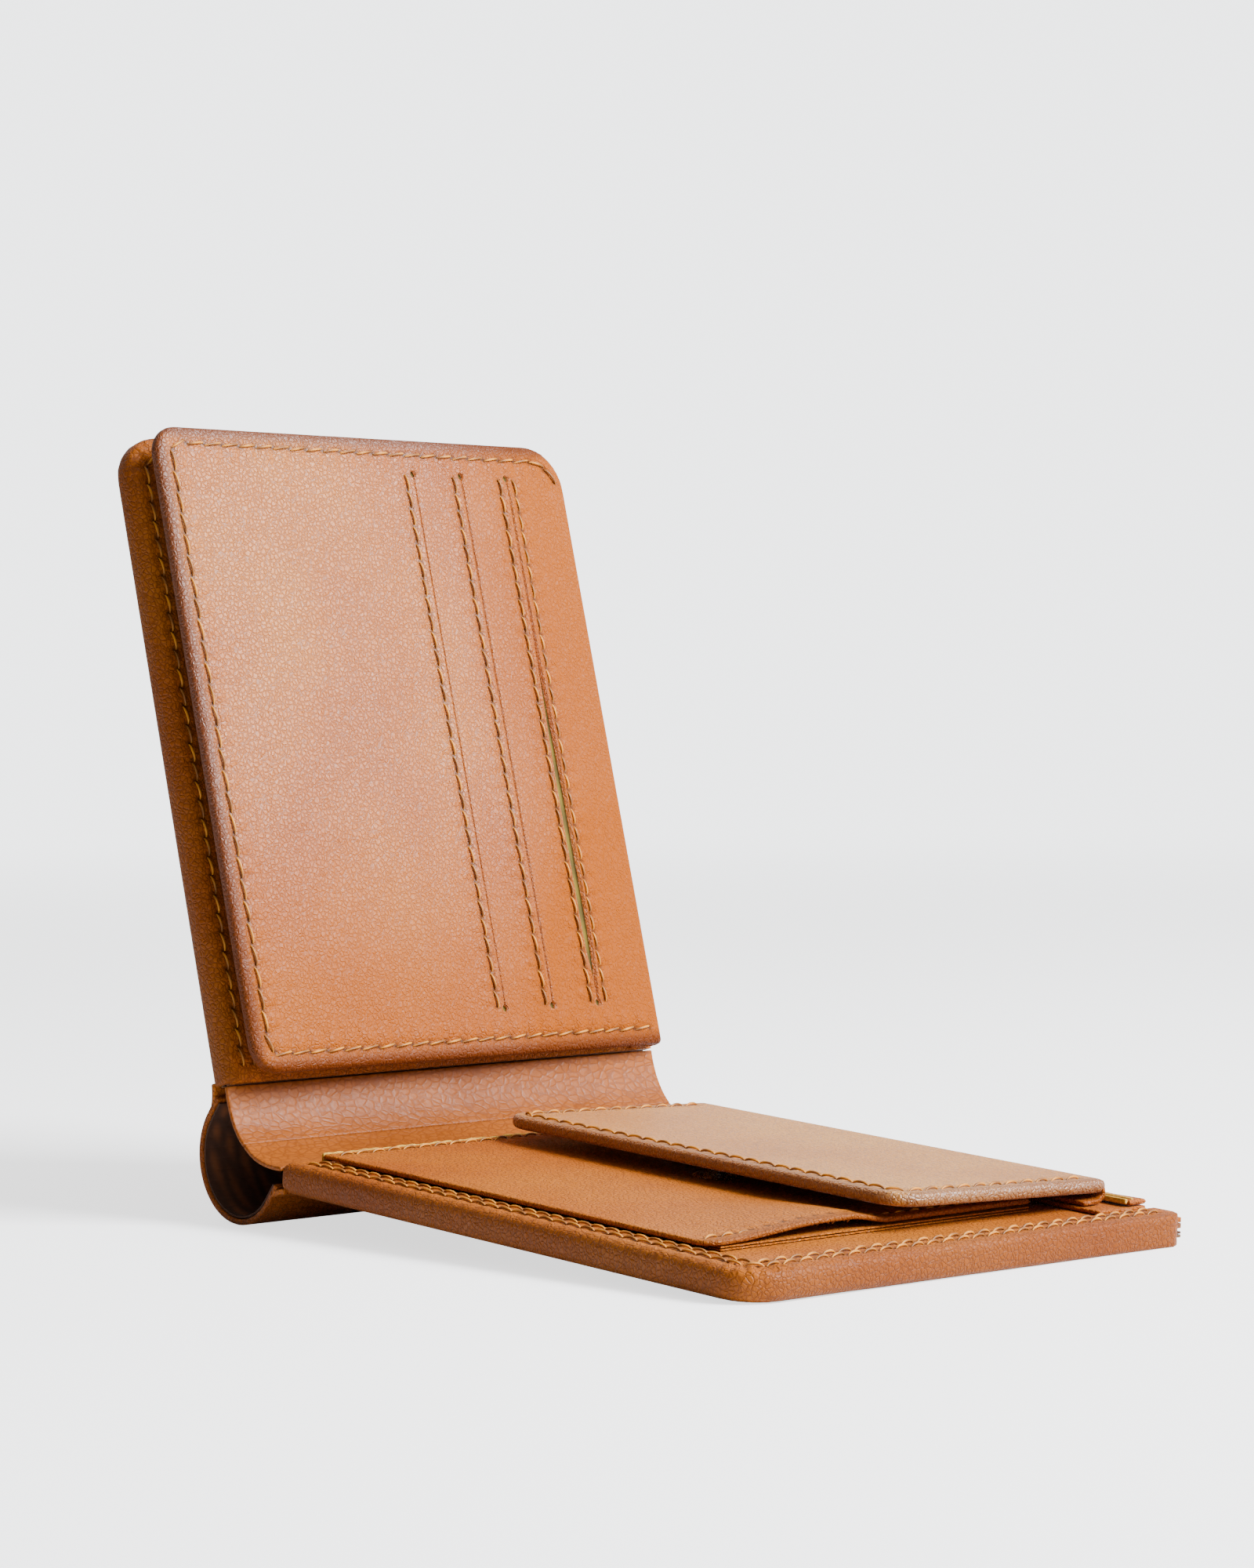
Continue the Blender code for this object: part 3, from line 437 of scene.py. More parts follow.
@dataclass(frozen=True)
class Leather:
    """Aniline-dyed smooth cowhide: fine pebbled grain, soft satin sheen, tone that drifts over the hide.

    The eye gets a warm tan that goes deeper and less shiny under painted shade, so the rest reads as a
    painted highlight; turned edges darkened by burnish and by painted shade; painted shade in the pores; and
    small dark dimples of painted shade where the needle went in.
    """

    name: str
    base: str = "AA5C10"
    deep: str = "9C4E0A"
    pale: str = "B4691A"
    edge: str = "5A2600"
    shade_tone: str = "964A00"
    pore_shade: str = "6A3208"
    needle_hole_shade: str = "2A1204"
    sheen_tint: str = "FFD9C6"
    drift_mm: float = 38.0
    blotch_mm: float = 7.0
    blotch_share: float = 0.35
    grain_mm: float = 0.75
    grain_depth_mm: float = 0.17
    crease_mm: float = 9.0
    crease_depth_mm: float = 0.7
    stretch: Triple = (1.0, 1.0, 1.0)
    roughness: float = 0.42
    sheen: float = 0.04
    gloss: float = 0.2
    refraction: float = 1.46
    grounding: Grounding = Grounding.OBJECT

    def build(self) -> Material:
        """Make the material."""
        new = NewFinish(self.name, self.grounding)
        place = new.stretched(self.stretch)
        # Tone: a slow drift between three tans, with small blotches
        drift = new.noise(new.place, self.drift_mm, 3.0)
        blotch = new.noise(new.place, self.blotch_mm, 4.0)
        toned = new.ramp(drift, ((0.36, self.deep), (0.5, self.base), (0.66, self.pale)))
        mottled = new.mixed(new.times(blotch, self.blotch_share), toned, self.deep)
        # Grain: pebbles between pores darkened with painted shade, with a fine tooth on them and wide soft
        # creases under them
        wobble = new.noise(place, self.grain_mm * 1.6, 2.0, "Color")
        shifted = new.add(
            "ShaderNodeMix", {"4": place, "5": wobble}, data_type="VECTOR", in_0=GRAIN_WOBBLE
        ).outputs[1]
        cells = new.add(
            "ShaderNodeTexVoronoi", {"Vector": shifted}, feature="DISTANCE_TO_EDGE",
            in_Scale=cycles_per_metre(self.grain_mm),
        ).outputs["Distance"]
        pebbles = new.ranged(cells, (0.0, 0.22), (0.0, 1.0), interpolation_type="SMOOTHSTEP")
        fine = new.noise(place, self.grain_mm * 0.45, 3.0, in_Roughness=0.6)
        crease = new.noise(place, self.crease_mm, 4.0, in_Roughness=0.6, in_Distortion=0.6)
        pore_shading = new.ranged(cells, (0.0, 0.16), (0.6, 0.0))
        # Painted shade where the mesh says so: deeper, less shiny tan away from the painted highlight, rims
        # (partly burnish) and needle holes
        painted_shade = new.attribute("painted_shade")
        shade_tone = new.mixed(painted_shade, new.mixed(pore_shading, mottled, self.pore_shade), self.shade_tone)
        burnish_and_shade = new.mixed(new.attribute("rim"), shade_tone, self.edge)
        hole_shaded = new.mixed(new.attribute("needle_hole_shade"), burnish_and_shade, self.needle_hole_shade)
        low = new.relief(crease, 0.6, self.crease_depth_mm)
        middle = new.relief(pebbles, 0.55, self.grain_depth_mm, low)
        return new.feed(
            Base_Color=hole_shaded,
            Roughness=new.ranged(fine, (0.3, 0.7), (self.roughness - 0.06, self.roughness + 0.08)),
            Sheen_Weight=self.sheen, Sheen_Roughness=0.35, Sheen_Tint=colour(self.sheen_tint),
            IOR=self.refraction,
            Specular_IOR_Level=new.ranged(painted_shade, (0.0, 1.0), (self.gloss, self.gloss * 0.2)),
            Normal=new.relief(fine, 0.5, self.grain_depth_mm, middle),
        )


@dataclass(frozen=True)
class Fibre:
    """Matt fibrous finish: raw cut edges, flesh side, board. The eye gets short fibres and no gloss."""

    name: str
    light: str
    dark: str
    fibre_mm: float = 0.5
    depth_mm: float = 0.06
    roughness: float = 0.9

    def build(self) -> Material:
        """Make the material."""
        new = NewFinish(self.name)
        fibres = new.noise(new.place, self.fibre_mm, 5.0, in_Roughness=0.7)
        return new.feed(
            Base_Color=new.ramp(fibres, ((0.35, self.dark), (0.65, self.light))),
            Roughness=self.roughness, Normal=new.relief(fibres, 0.6, self.depth_mm),
        )


@dataclass(frozen=True)
class Weave:
    """Plain-woven lining cloth: crossing threads seen as a fine checked relief, matt."""

    name: str
    light: str
    dark: str
    thread_mm: float = 0.45

    def build(self) -> Material:
        """Make the material."""
        new = NewFinish(self.name)
        threads = [new.bands(direction, self.thread_mm, 0.4, 1.0) for direction in ("Y", "DIAGONAL")]
        crossing = new.times(*threads)
        return new.feed(
            Base_Color=new.mixed(crossing, self.dark, self.light), Roughness=0.88,
            Normal=new.relief(crossing, 0.5, 0.08),
        )


@dataclass(frozen=True)
class WaxedThread:
    """Waxed polyester thread: twisted plies with a dull wax shine."""

    name: str
    light: str = "CC8420"
    dark: str = "7E4A10"
    ply_mm: float = 0.35

    def build(self) -> Material:
        """Make the material."""
        new = NewFinish(self.name)
        plies = new.bands("DIAGONAL", self.ply_mm, 1.0, 2.0)
        return new.feed(
            Base_Color=new.mixed(plies, self.dark, self.light), Roughness=0.5,
            Normal=new.relief(plies, 0.6, 0.05),
        )


@dataclass(frozen=True)
class NickelPlate:
    """Nickel-plated brass: bright grey metal with fine turning marks."""

    name: str
    light: str = "E2E0DA"
    dark: str = "C9C8C4"

    def build(self) -> Material:
        """Make the material."""
        new = NewFinish(self.name)
        marks = new.noise(new.place, 0.3, 4.0)
        return new.feed(
            Base_Color=new.mixed(marks, self.dark, self.light),
            Roughness=new.ranged(marks, (0.3, 0.7), (0.16, 0.34)), Metallic=1.0,
        )


class Finishes:
    """Every material of the wallet, each made once."""

    def __init__(self) -> None:
        """Make the materials."""
        rest = Grounding.REST_PLACE
        self.tan = Leather("tan_smooth_cowhide").build()
        self.bending = Leather("tan_smooth_cowhide_bending", grounding=rest).build()
        self.glazed = Leather("tan_glazed_cowhide", gloss=0.6).build()
        # Flap leather: glossier, with a paler tan that is painted sheen
        self.polished_with_painted_sheen = Leather(
            "tan_polished_cowhide_painted_sheen", base="CE8832", deep="C27C26", pale="D89640", gloss=0.9, sheen=0.3,
            roughness=0.36,
        ).build()
        self.web = Leather(
            "tan_milled_cowhide_web", grain_mm=1.1, grain_depth_mm=0.07, stretch=(1.0, 0.7, 1.0),
            base="98521A", deep="7E400E", pale="AA6428", grounding=rest,
        ).build()
        self.flesh = Fibre("brown_flesh_side", "8A5228", "5A2F12").build()
        self.raw_edge = Fibre("yellow_raw_cut_edge", "D9A645", "97741C", fibre_mm=0.6).build()
        self.lining = Weave("brown_woven_bill_lining", "6A3A18", "3E200C").build()
        self.card_lining = Weave("olive_woven_card_lining", "6E5E0C", "4C4008").build()
        self.board = Fibre("brown_stiffener_board", "8A6644", "5E4028", fibre_mm=1.2).build()
        self.thread = WaxedThread("golden_waxed_thread").build()
        self.nickel = NickelPlate("nickel_plated_brass").build()

    def dress(self, piece: Piece, material: Material, slot: str) -> None:
        """Give a piece its only material."""
        piece.data.materials.clear()
        piece.data.materials.append(material)

    def dress_node(self, node: Piece, material: Material) -> None:
        """Give a carried-over part its finish."""
        for index in range(max(1, len(node.material_slots))):
            if index < len(node.material_slots):
                node.material_slots[index].link = "OBJECT"
                node.material_slots[index].material = material
            else:
                node.data.materials.append(material)


# ---- Seams and stitches --------------------------------------------------------------------


@dataclass
class Seam:
    """One line of stitching in a body's own XY plane, at a height on the leather."""

    route: list[Point2]
    height: float
    pitch: float = 3.4 * MM
    facing: int = 1
    puff_side: int = 1
    sunk: float = 0.0

    def __post_init__(self) -> None:
        """Work out the lengths along the route."""
        self.line = np.array(self.route)
        steps = np.linalg.norm(np.diff(self.line, axis=0), axis=1)
        self.along = np.concatenate(([0.0], np.cumsum(steps)))
        self.count = max(1, round(self.along[-1] / self.pitch))
        self.step = self.along[-1] / self.count

    def at(self, distance: float) -> tuple[np.ndarray, np.ndarray]:
        """Place and direction at a distance along the route."""
        index = min(int(np.searchsorted(self.along, distance, side="right")) - 1, len(self.line) - 2)
        index = max(index, 0)
        span = self.along[index + 1] - self.along[index]
        direction = (self.line[index + 1] - self.line[index]) / span
        return self.line[index] + direction * (distance - self.along[index]), direction

    def nearest(self, points: np.ndarray) -> tuple[np.ndarray, np.ndarray]:
        """Signed distance from the route and distance along it, for rows of X, Y."""
        best = np.full(len(points), 1e9)
        signed = np.full(len(points), 1e9)
        travelled = np.zeros(len(points))
        for index in range(len(self.line) - 1):
            start, end = self.line[index], self.line[index + 1]
            span = end - start
            length = float(np.hypot(*span))
            ratio = np.clip(((points - start) @ span) / length**2, 0.0, 1.0)
            offset = points - (start + ratio[:, None] * span)
            distance = np.hypot(offset[:, 0], offset[:, 1])
            closer = distance < best
            side = np.sign(span[0] * offset[:, 1] - span[1] * offset[:, 0])
            best[closer] = distance[closer]
            signed[closer] = (distance * side)[closer]
            travelled[closer] = (self.along[index] + ratio * length)[closer]
        return signed, travelled

    def press(self, points: np.ndarray, depth: float, puff: float) -> tuple[np.ndarray, np.ndarray]:
        """Pull leather down along the seam and let it puff up beside each stitch.

        Args:
            points: rows of X, Y, Z in the body's own frame; Z is changed in place.
            depth: how deep the seam lies.
            puff: how high the leather stands between the stitches.

        Returns:
            The points, and how much each lies in a needle hole.
        """
        close = np.abs(points[:, 2] - self.height) < 0.9 * MM
        signed, travelled = self.nearest(points[close][:, :2])
        reach = (travelled > 0) & (travelled < self.along[-1])
        turn = 2 * pi * travelled / self.step
        groove = bell(signed, 0.55 * MM) * reach
        hole = (0.5 + 0.5 * np.cos(turn)) ** 2
        inner = bell(signed * self.puff_side - 1.5 * MM, 0.9 * MM) * reach
        gather = 0.5 - 0.5 * np.cos(turn)
        change = -depth * groove * (0.55 + 0.45 * hole) + puff * inner * gather - 0.5 * puff * inner * hole
        points[close, 2] += self.facing * change
        mark = np.zeros(len(points))
        mark[close] = bell(signed, 0.5 * MM) * hole**1.5 * reach
        return points, mark


class Stitcher:
    """Makes one stitch and sets copies of it along the seams."""

    radius: float = 0.2 * MM
    rise: float = 0.16 * MM
    slant: float = radians(9.0)

    def __init__(self, finishes: Finishes) -> None:
        """Model the stitch that all the seams repeat."""
        self.finishes = finishes
        self.faces, self.points = self.one_stitch()

    def one_stitch(self) -> tuple[list[tuple[int, ...]], np.ndarray]:
        """A short arched bar of thread whose ends dive into the leather, 1 long along X."""
        clear_selection()
        bpy.ops.mesh.primitive_cylinder_add(
            vertices=7, radius=self.radius, depth=1.0, location=(0.0, 0.0, 0.0), rotation=(0.0, pi / 2, 0.0)
        )
        bar = bpy.context.object
        bpy.ops.object.transform_apply(location=True, rotation=True, scale=True)
        for cut in (-0.46, -0.36, -0.2, 0.0, 0.2, 0.36, 0.46):
            in_edit_mode(
                bar, lambda _: True,
                lambda place=cut: bpy.ops.mesh.bisect(plane_co=(place, 0.0, 0.0), plane_no=(1.0, 0.0, 0.0)),
                "FACE",
            )
        points = read_points(bar)
        reach = np.abs(points[:, 0]) * 2
        points[:, 1:] *= (1.0 - 0.45 * np.clip(reach - 0.6, 0.0, 1.0) / 0.4)[:, None]
        points[:, 2] += self.rise * (1.0 - reach**2) * 1.6 - self.rise * 1.2 * ease((reach - 0.6) / 0.4)
        faces = [tuple(face.vertices) for face in bar.data.polygons]
        mesh = bar.data
        bpy.data.objects.remove(bar, do_unlink=True)
        bpy.data.meshes.remove(mesh)
        return faces, points

    def sew(
        self, name: str, seams: Sequence[Seam], frame: BodyFrame, replaced: Sequence[str]
    ) -> Piece:
        """Set stitches along seams.

        Args:
            name: the piece's name.
            seams: lines of stitching in the body's frame.
            frame: the body's frame.
            replaced: CAD threads that these stitches stand for.

        Returns:
            The piece, riding on its body.
        """
        rows, faces, count = [], [], 0
        rng = np.random.default_rng(7)
        for seam in seams:
            for number in range(seam.count):
                place, direction = seam.at((number + 0.5) * seam.step)
                angle = np.arctan2(direction[1], direction[0]) + self.slant * (0.8 + 0.4 * rng.random())
                along = np.array((cos(angle), sin(angle), 0.0))
                across = np.array((-sin(angle), cos(angle), 0.0))
                bar = self.points.copy()
                bar[:, 0] *= seam.step * 0.96
                moved = bar[:, :1] * along + bar[:, 1:2] * across
                moved[:, 2] = (bar[:, 2] - seam.sunk) * seam.facing + seam.height
                moved[:, :2] += place
                rows.append(moved)
                faces += [tuple(index + count for index in face) for face in self.faces]
                count += len(bar)
        mesh = bpy.data.meshes.new(name)
        mesh.from_pydata(np.concatenate(rows).tolist(), [], faces)
        piece = bpy.data.objects.new(name, mesh)
        bpy.context.scene.collection.objects.link(piece)
        face_outward(piece)
        frame.place(piece)
        smooth_look(piece)
        self.finishes.dress(piece, self.finishes.thread, "waxed_thread")
        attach(piece, frame.body)
        if replaced:
            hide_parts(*replaced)
        return piece


# ---- Leather work --------------------------------------------------------------------------


@dataclass(frozen=True)
class Box:
    """Extents of a piece in its body's own frame."""

    x: Point2
    y: Point2
    z: Point2


class LeatherWork:
    """Shared ways of making leather pieces."""

    def __init__(self, finishes: Finishes) -> None:
        """Keep the finishes."""
        self.finishes = finishes

    def slab(self, name: str, box: Box) -> Piece:
        """A block at its place."""
        clear_selection()
        centre = [(low + high) / 2 for low, high in (box.x, box.y, box.z)]
        size = [high - low for low, high in (box.x, box.y, box.z)]
        bpy.ops.mesh.primitive_cube_add(size=1.0, location=centre, scale=size)
        block = bpy.context.object
        block.name = block.data.name = name
        bpy.ops.object.transform_apply(location=True, rotation=True, scale=True)
        return block

    def rounded_plate(
        self, name: str, box: Box, radii: Sequence[float], rim: float, voxel: float, rounds: int = 3
    ) -> Piece:
        """A closed plate of leather with rounded corners and rims, in small even faces.

        Args:
            name: piece name.
            box: extents.
            radii: corner radii at (low x, low y), (high x, low y), (high x, high y), (low x, high y).
            rim: radius of the rims.
            voxel: size of the faces.
            rounds: smoothing rounds.

        Returns:
            The plate in the body's own coordinates.
        """
        plate = self.slab(name, box)
        corners = [(box.x[0], box.y[0]), (box.x[1], box.y[0]), (box.x[1], box.y[1]), (box.x[0], box.y[1])]
        for (x, y), radius in zip(corners, radii):
            if radius <= 0:
                continue

            def at_corner(edge: bmesh.types.BMEdge, x: float = x, y: float = y) -> bool:
                """Whether an edge stands at this corner."""
                return all(abs(v.co.x - x) < 1e-6 and abs(v.co.y - y) < 1e-6 for v in edge.verts)

            in_edit_mode(
                plate, at_corner,
                lambda radius=radius: bpy.ops.mesh.bevel(offset=radius, segments=8, affect="EDGES"),
            )

        def on_rim(edge: bmesh.types.BMEdge) -> bool:
            """Whether an edge lies between a level face and a side."""
            return len(edge.link_faces) == 2 and (
                abs(abs(edge.link_faces[0].normal.z) - abs(edge.link_faces[1].normal.z)) > 0.5
            )

        in_edit_mode(plate, on_rim, lambda: bpy.ops.mesh.bevel(offset=rim, segments=4, affect="EDGES"))
        remesh(plate, voxel, rounds)
        return plate

    def softened_copy(
        self, name: str, node: str, frame: BodyFrame, voxel: float, rounds: int
    ) -> Piece:
        """A part's own shape, welded and turned into small even faces, in its body's coordinates.

        Args:
            name: the new piece's name.
            node: CAD node to start from.
            frame: the body's frame.
            voxel: size of the faces.
            rounds: smoothing rounds.

        Returns:
            The new piece.
        """
        source = NODES[node]
        mesh = source.data.copy()
        mesh.name = name
        piece = bpy.data.objects.new(name, mesh)
        bpy.context.scene.collection.objects.link(piece)
        mesh.transform(frame.matrix.inverted())
        in_edit_mode(piece, lambda _: True, lambda: bpy.ops.mesh.remove_doubles(threshold=0.002 * MM), "VERT")
        remesh(piece, voxel, rounds)
        return piece

    def swept_sheet(
        self, name: str, path: Sequence[Point2], span: Point2, thickness: float, cells: int, across_x: bool
    ) -> Piece:
        """A bent sheet: a path drawn out sideways, given its thickness and rounded.

        Args:
            name: piece name.
            path: points in XZ, or in YZ for a path drawn out along X.
            span: where it starts and ends sideways.
            thickness: leather thickness.
            cells: cells sideways.
            across_x: whether the path is drawn out along X.

        Returns:
            The sheet in the body's own coordinates.
        """
        clear_selection()
        bpy.ops.mesh.primitive_grid_add(x_subdivisions=len(path) - 1, y_subdivisions=cells, size=2.0)
        sheet = bpy.context.object
        sheet.name = sheet.data.name = name
        points = read_points(sheet)
        line = np.array(path)
        order = np.clip(np.rint((points[:, 0] + 1) / 2 * (len(path) - 1)).astype(int), 0, len(path) - 1)
        side = span[0] + (points[:, 1] + 1) / 2 * (span[1] - span[0])
        if across_x:
            moved = np.column_stack((side, line[order, 0], line[order, 1]))
        else:
            moved = np.column_stack((line[order, 0], side, line[order, 1]))
        write_points(sheet, moved)
        apply_modifier(sheet, "SOLIDIFY", thickness=thickness, offset=0.0, use_even_offset=True)
        face_outward(sheet)
        apply_modifier(
            sheet, "BEVEL", width=thickness * 0.3, segments=2, limit_method="ANGLE", angle_limit=radians(50)
        )
        return sheet

    def press_seams(self, piece: Piece, seams: Sequence[tuple[Seam, float, float]]) -> np.ndarray:
        """Press seams into a piece and mark their needle holes on it for painted shade.

        Args:
            piece: leather in the body's own coordinates.
            seams: each seam with its depth and its puff, in millimetres.

        Returns:
            The piece's points after pressing, for the caller to write back.
        """
        points = read_points(piece)
        holes = np.zeros(len(points))
        for seam, depth, puff in seams:
            points, mark = seam.press(points, depth * MM, puff * MM)
            holes = np.maximum(holes, mark)
        write_value(piece, "needle_hole_shade", holes)
        return points

    def hinge(
        self, name: str, half: BodyFrame, leaf: BodyFrame, axis: Point2, foot: float, turn: Sequence[Point2],
        span: Point2, middle: float, thickness: float, cells: int, rim: float,
    ) -> None:
        """Leather that wraps a leaf's folded edge.

        Args:
            name: the CAD part that it stands for.
            half: frame of the half that carries its foot.
            leaf: frame of the leaf.
            axis: Y and Z of the leaf's joint in the half's frame.
            foot: height of the foot.
            turn: Y and Z from the joint along the wrapped part, in millimetres.
            span: where it starts and ends along X.
            middle: X at which the bending starts and ends.
            thickness: leather thickness.
            cells: cells along X.
            rim: how dark the whole sheet is made, partly burnish and partly painted shade.
        """
        axis_y, axis_z = axis
        path = [(axis_y + y * MM, axis_z + z * MM) for y, z in turn]
        path += [(axis_y, foot + 0.05 * MM), (axis_y - FOOT_WIDTH / 2, foot), (axis_y - FOOT_WIDTH, foot)]
        sheet = self.swept_sheet(f"{name}_leather", path, span, thickness, cells, True)
        ends = (half.point(middle, axis_y, foot), half.point(middle, axis_y, axis_z - BEND_END))
        self.bend(sheet, half, self.finishes.bending, (half.body, leaf.body), ends, [name], rim)

    def bend(
        self, sheet: Piece, frame: BodyFrame, material: Material, bodies: tuple[str, str],
        ends: tuple[Vector, Vector], replaced: Sequence[str], rim: float = 0.0,
    ) -> None:
        """Place and dress a sheet that spans two bodies."""
        write_value(sheet, "needle_hole_shade", np.zeros(len(sheet.data.vertices)))
        write_value(sheet, "rim", np.full(len(sheet.data.vertices), rim))
        frame.place(sheet)
        write_rest_place(sheet)
        smooth_look(sheet)
        self.finishes.dress(sheet, material, "tan_leather")
        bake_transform(sheet)
        if replaced:
            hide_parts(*replaced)
        LOG.info("%s: %d faces between %s", sheet.name, len(sheet.data.polygons), bodies)

    def finish(
        self, piece: Piece, frame: BodyFrame, material: Material,
        replaced: Sequence[str], slot: str = "tan_leather",
    ) -> Piece:
        """Place a piece, dress it, let it ride its body and say what it stands for."""
        frame.place(piece)
        smooth_look(piece)
        self.finishes.dress(piece, material, slot)
        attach(piece, frame.body)
        if replaced:
            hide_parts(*replaced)
        LOG.info("%s: %d faces on %s", piece.name, len(piece.data.polygons), frame.body)
        return piece

    def subtract(self, piece: Piece, cutter: Piece) -> None:
        """Cut one mesh out of another and remove the cutter."""
        apply_modifier(piece, "BOOLEAN", operation="DIFFERENCE", solver="MANIFOLD", object=cutter)
        mesh = cutter.data
        bpy.data.objects.remove(cutter, do_unlink=True)
        bpy.data.meshes.remove(mesh)


NODES: dict[str, Piece] = {}


# ---- Sub-assemblies ------------------------------------------------------------------------


@dataclass
class WalletHalf:
    """Cover and edge stitching of one half."""

    work: LeatherWork
    stitcher: Stitcher
    frame: BodyFrame
    prefix: str
    side: int
    length: float = 104.0 * MM
    height: float = 86.0 * MM
    corner: float = 6.5 * MM
    lip_top: float = 4.25 * MM
    lip_width: float = 6.5 * MM
    insets: tuple[float, float] = (3.2 * MM, 5.2 * MM)
    voxel: float = 0.55 * MM

    def seams(self) -> list[Seam]:
        """The two lines of stitching along the near and the outer edge."""
        made = []
        for inset in self.insets:
            radius = max(self.corner - inset, 1.0 * MM)
            turn = self.length - inset
            route = [(3.3 * MM, inset)]
            route += arc(turn - radius, inset + radius, radius, 1.5 * pi, 2 * pi)
            route.append((turn, self.height - 2.5 * MM))
            route = [(self.side * x, y) for x, y in route]
            made.append(Seam(route, self.lip_top, pitch=3.0 * MM, puff_side=-self.side))
        return made

    def corner_gathers(self, points: np.ndarray) -> None:
        """Radiating gathers where the leather is turned in round the near outer corner."""
        centre = np.array((self.side * (self.length - self.corner), self.corner))
        offset = points[:, :2] - centre
        outward = (offset[:, 0] * self.side > -1.5 * MM) & (offset[:, 1] < 1.5 * MM)
        radius = np.hypot(offset[:, 0], offset[:, 1])
        angle = np.arctan2(offset[:, 1], offset[:, 0] * self.side)
        top = ease((points[:, 2] - 2.6 * MM) / (1.2 * MM))
        band = bell(radius - 3.6 * MM, 3.0 * MM)
        points[:, 2] += outward * top * band * 0.3 * MM * (np.cos(angle * 17.0) - 0.6)

    def build_cover(self) -> Piece:
        """Outer leather turned in over the edges, with pressed seams and gathers."""
        name = self.prefix + "_cover"
        cover = self.work.softened_copy(name + "_leather", name, self.frame, self.voxel, 4)
        points = self.work.press_seams(cover, [(seam, 0.22, 0.12) for seam in self.seams()])
        self.corner_gathers(points)
        write_points(cover, points)
        # Near and outer rims darkened: partly burnish, partly painted shade
        out_y = bell(points[:, 1], 1.6 * MM)
        out_x = bell(np.abs(points[:, 0]) - self.length, 1.6 * MM)
        write_value(cover, "rim", np.clip(out_y + out_x, 0.0, 1.0) * 0.6)
        return self.work.finish(cover, self.frame, self.work.finishes.tan, [name])

    def build(self) -> None:
        """Build the half's own pieces."""
        self.build_cover()
        names = [f"{self.prefix}_edge_thread_{number}" for number in (1, 2)]
        for name, seam in zip(names, self.seams()):
            self.stitcher.sew(name.replace("thread", "stitches"), [seam], self.frame, [name])


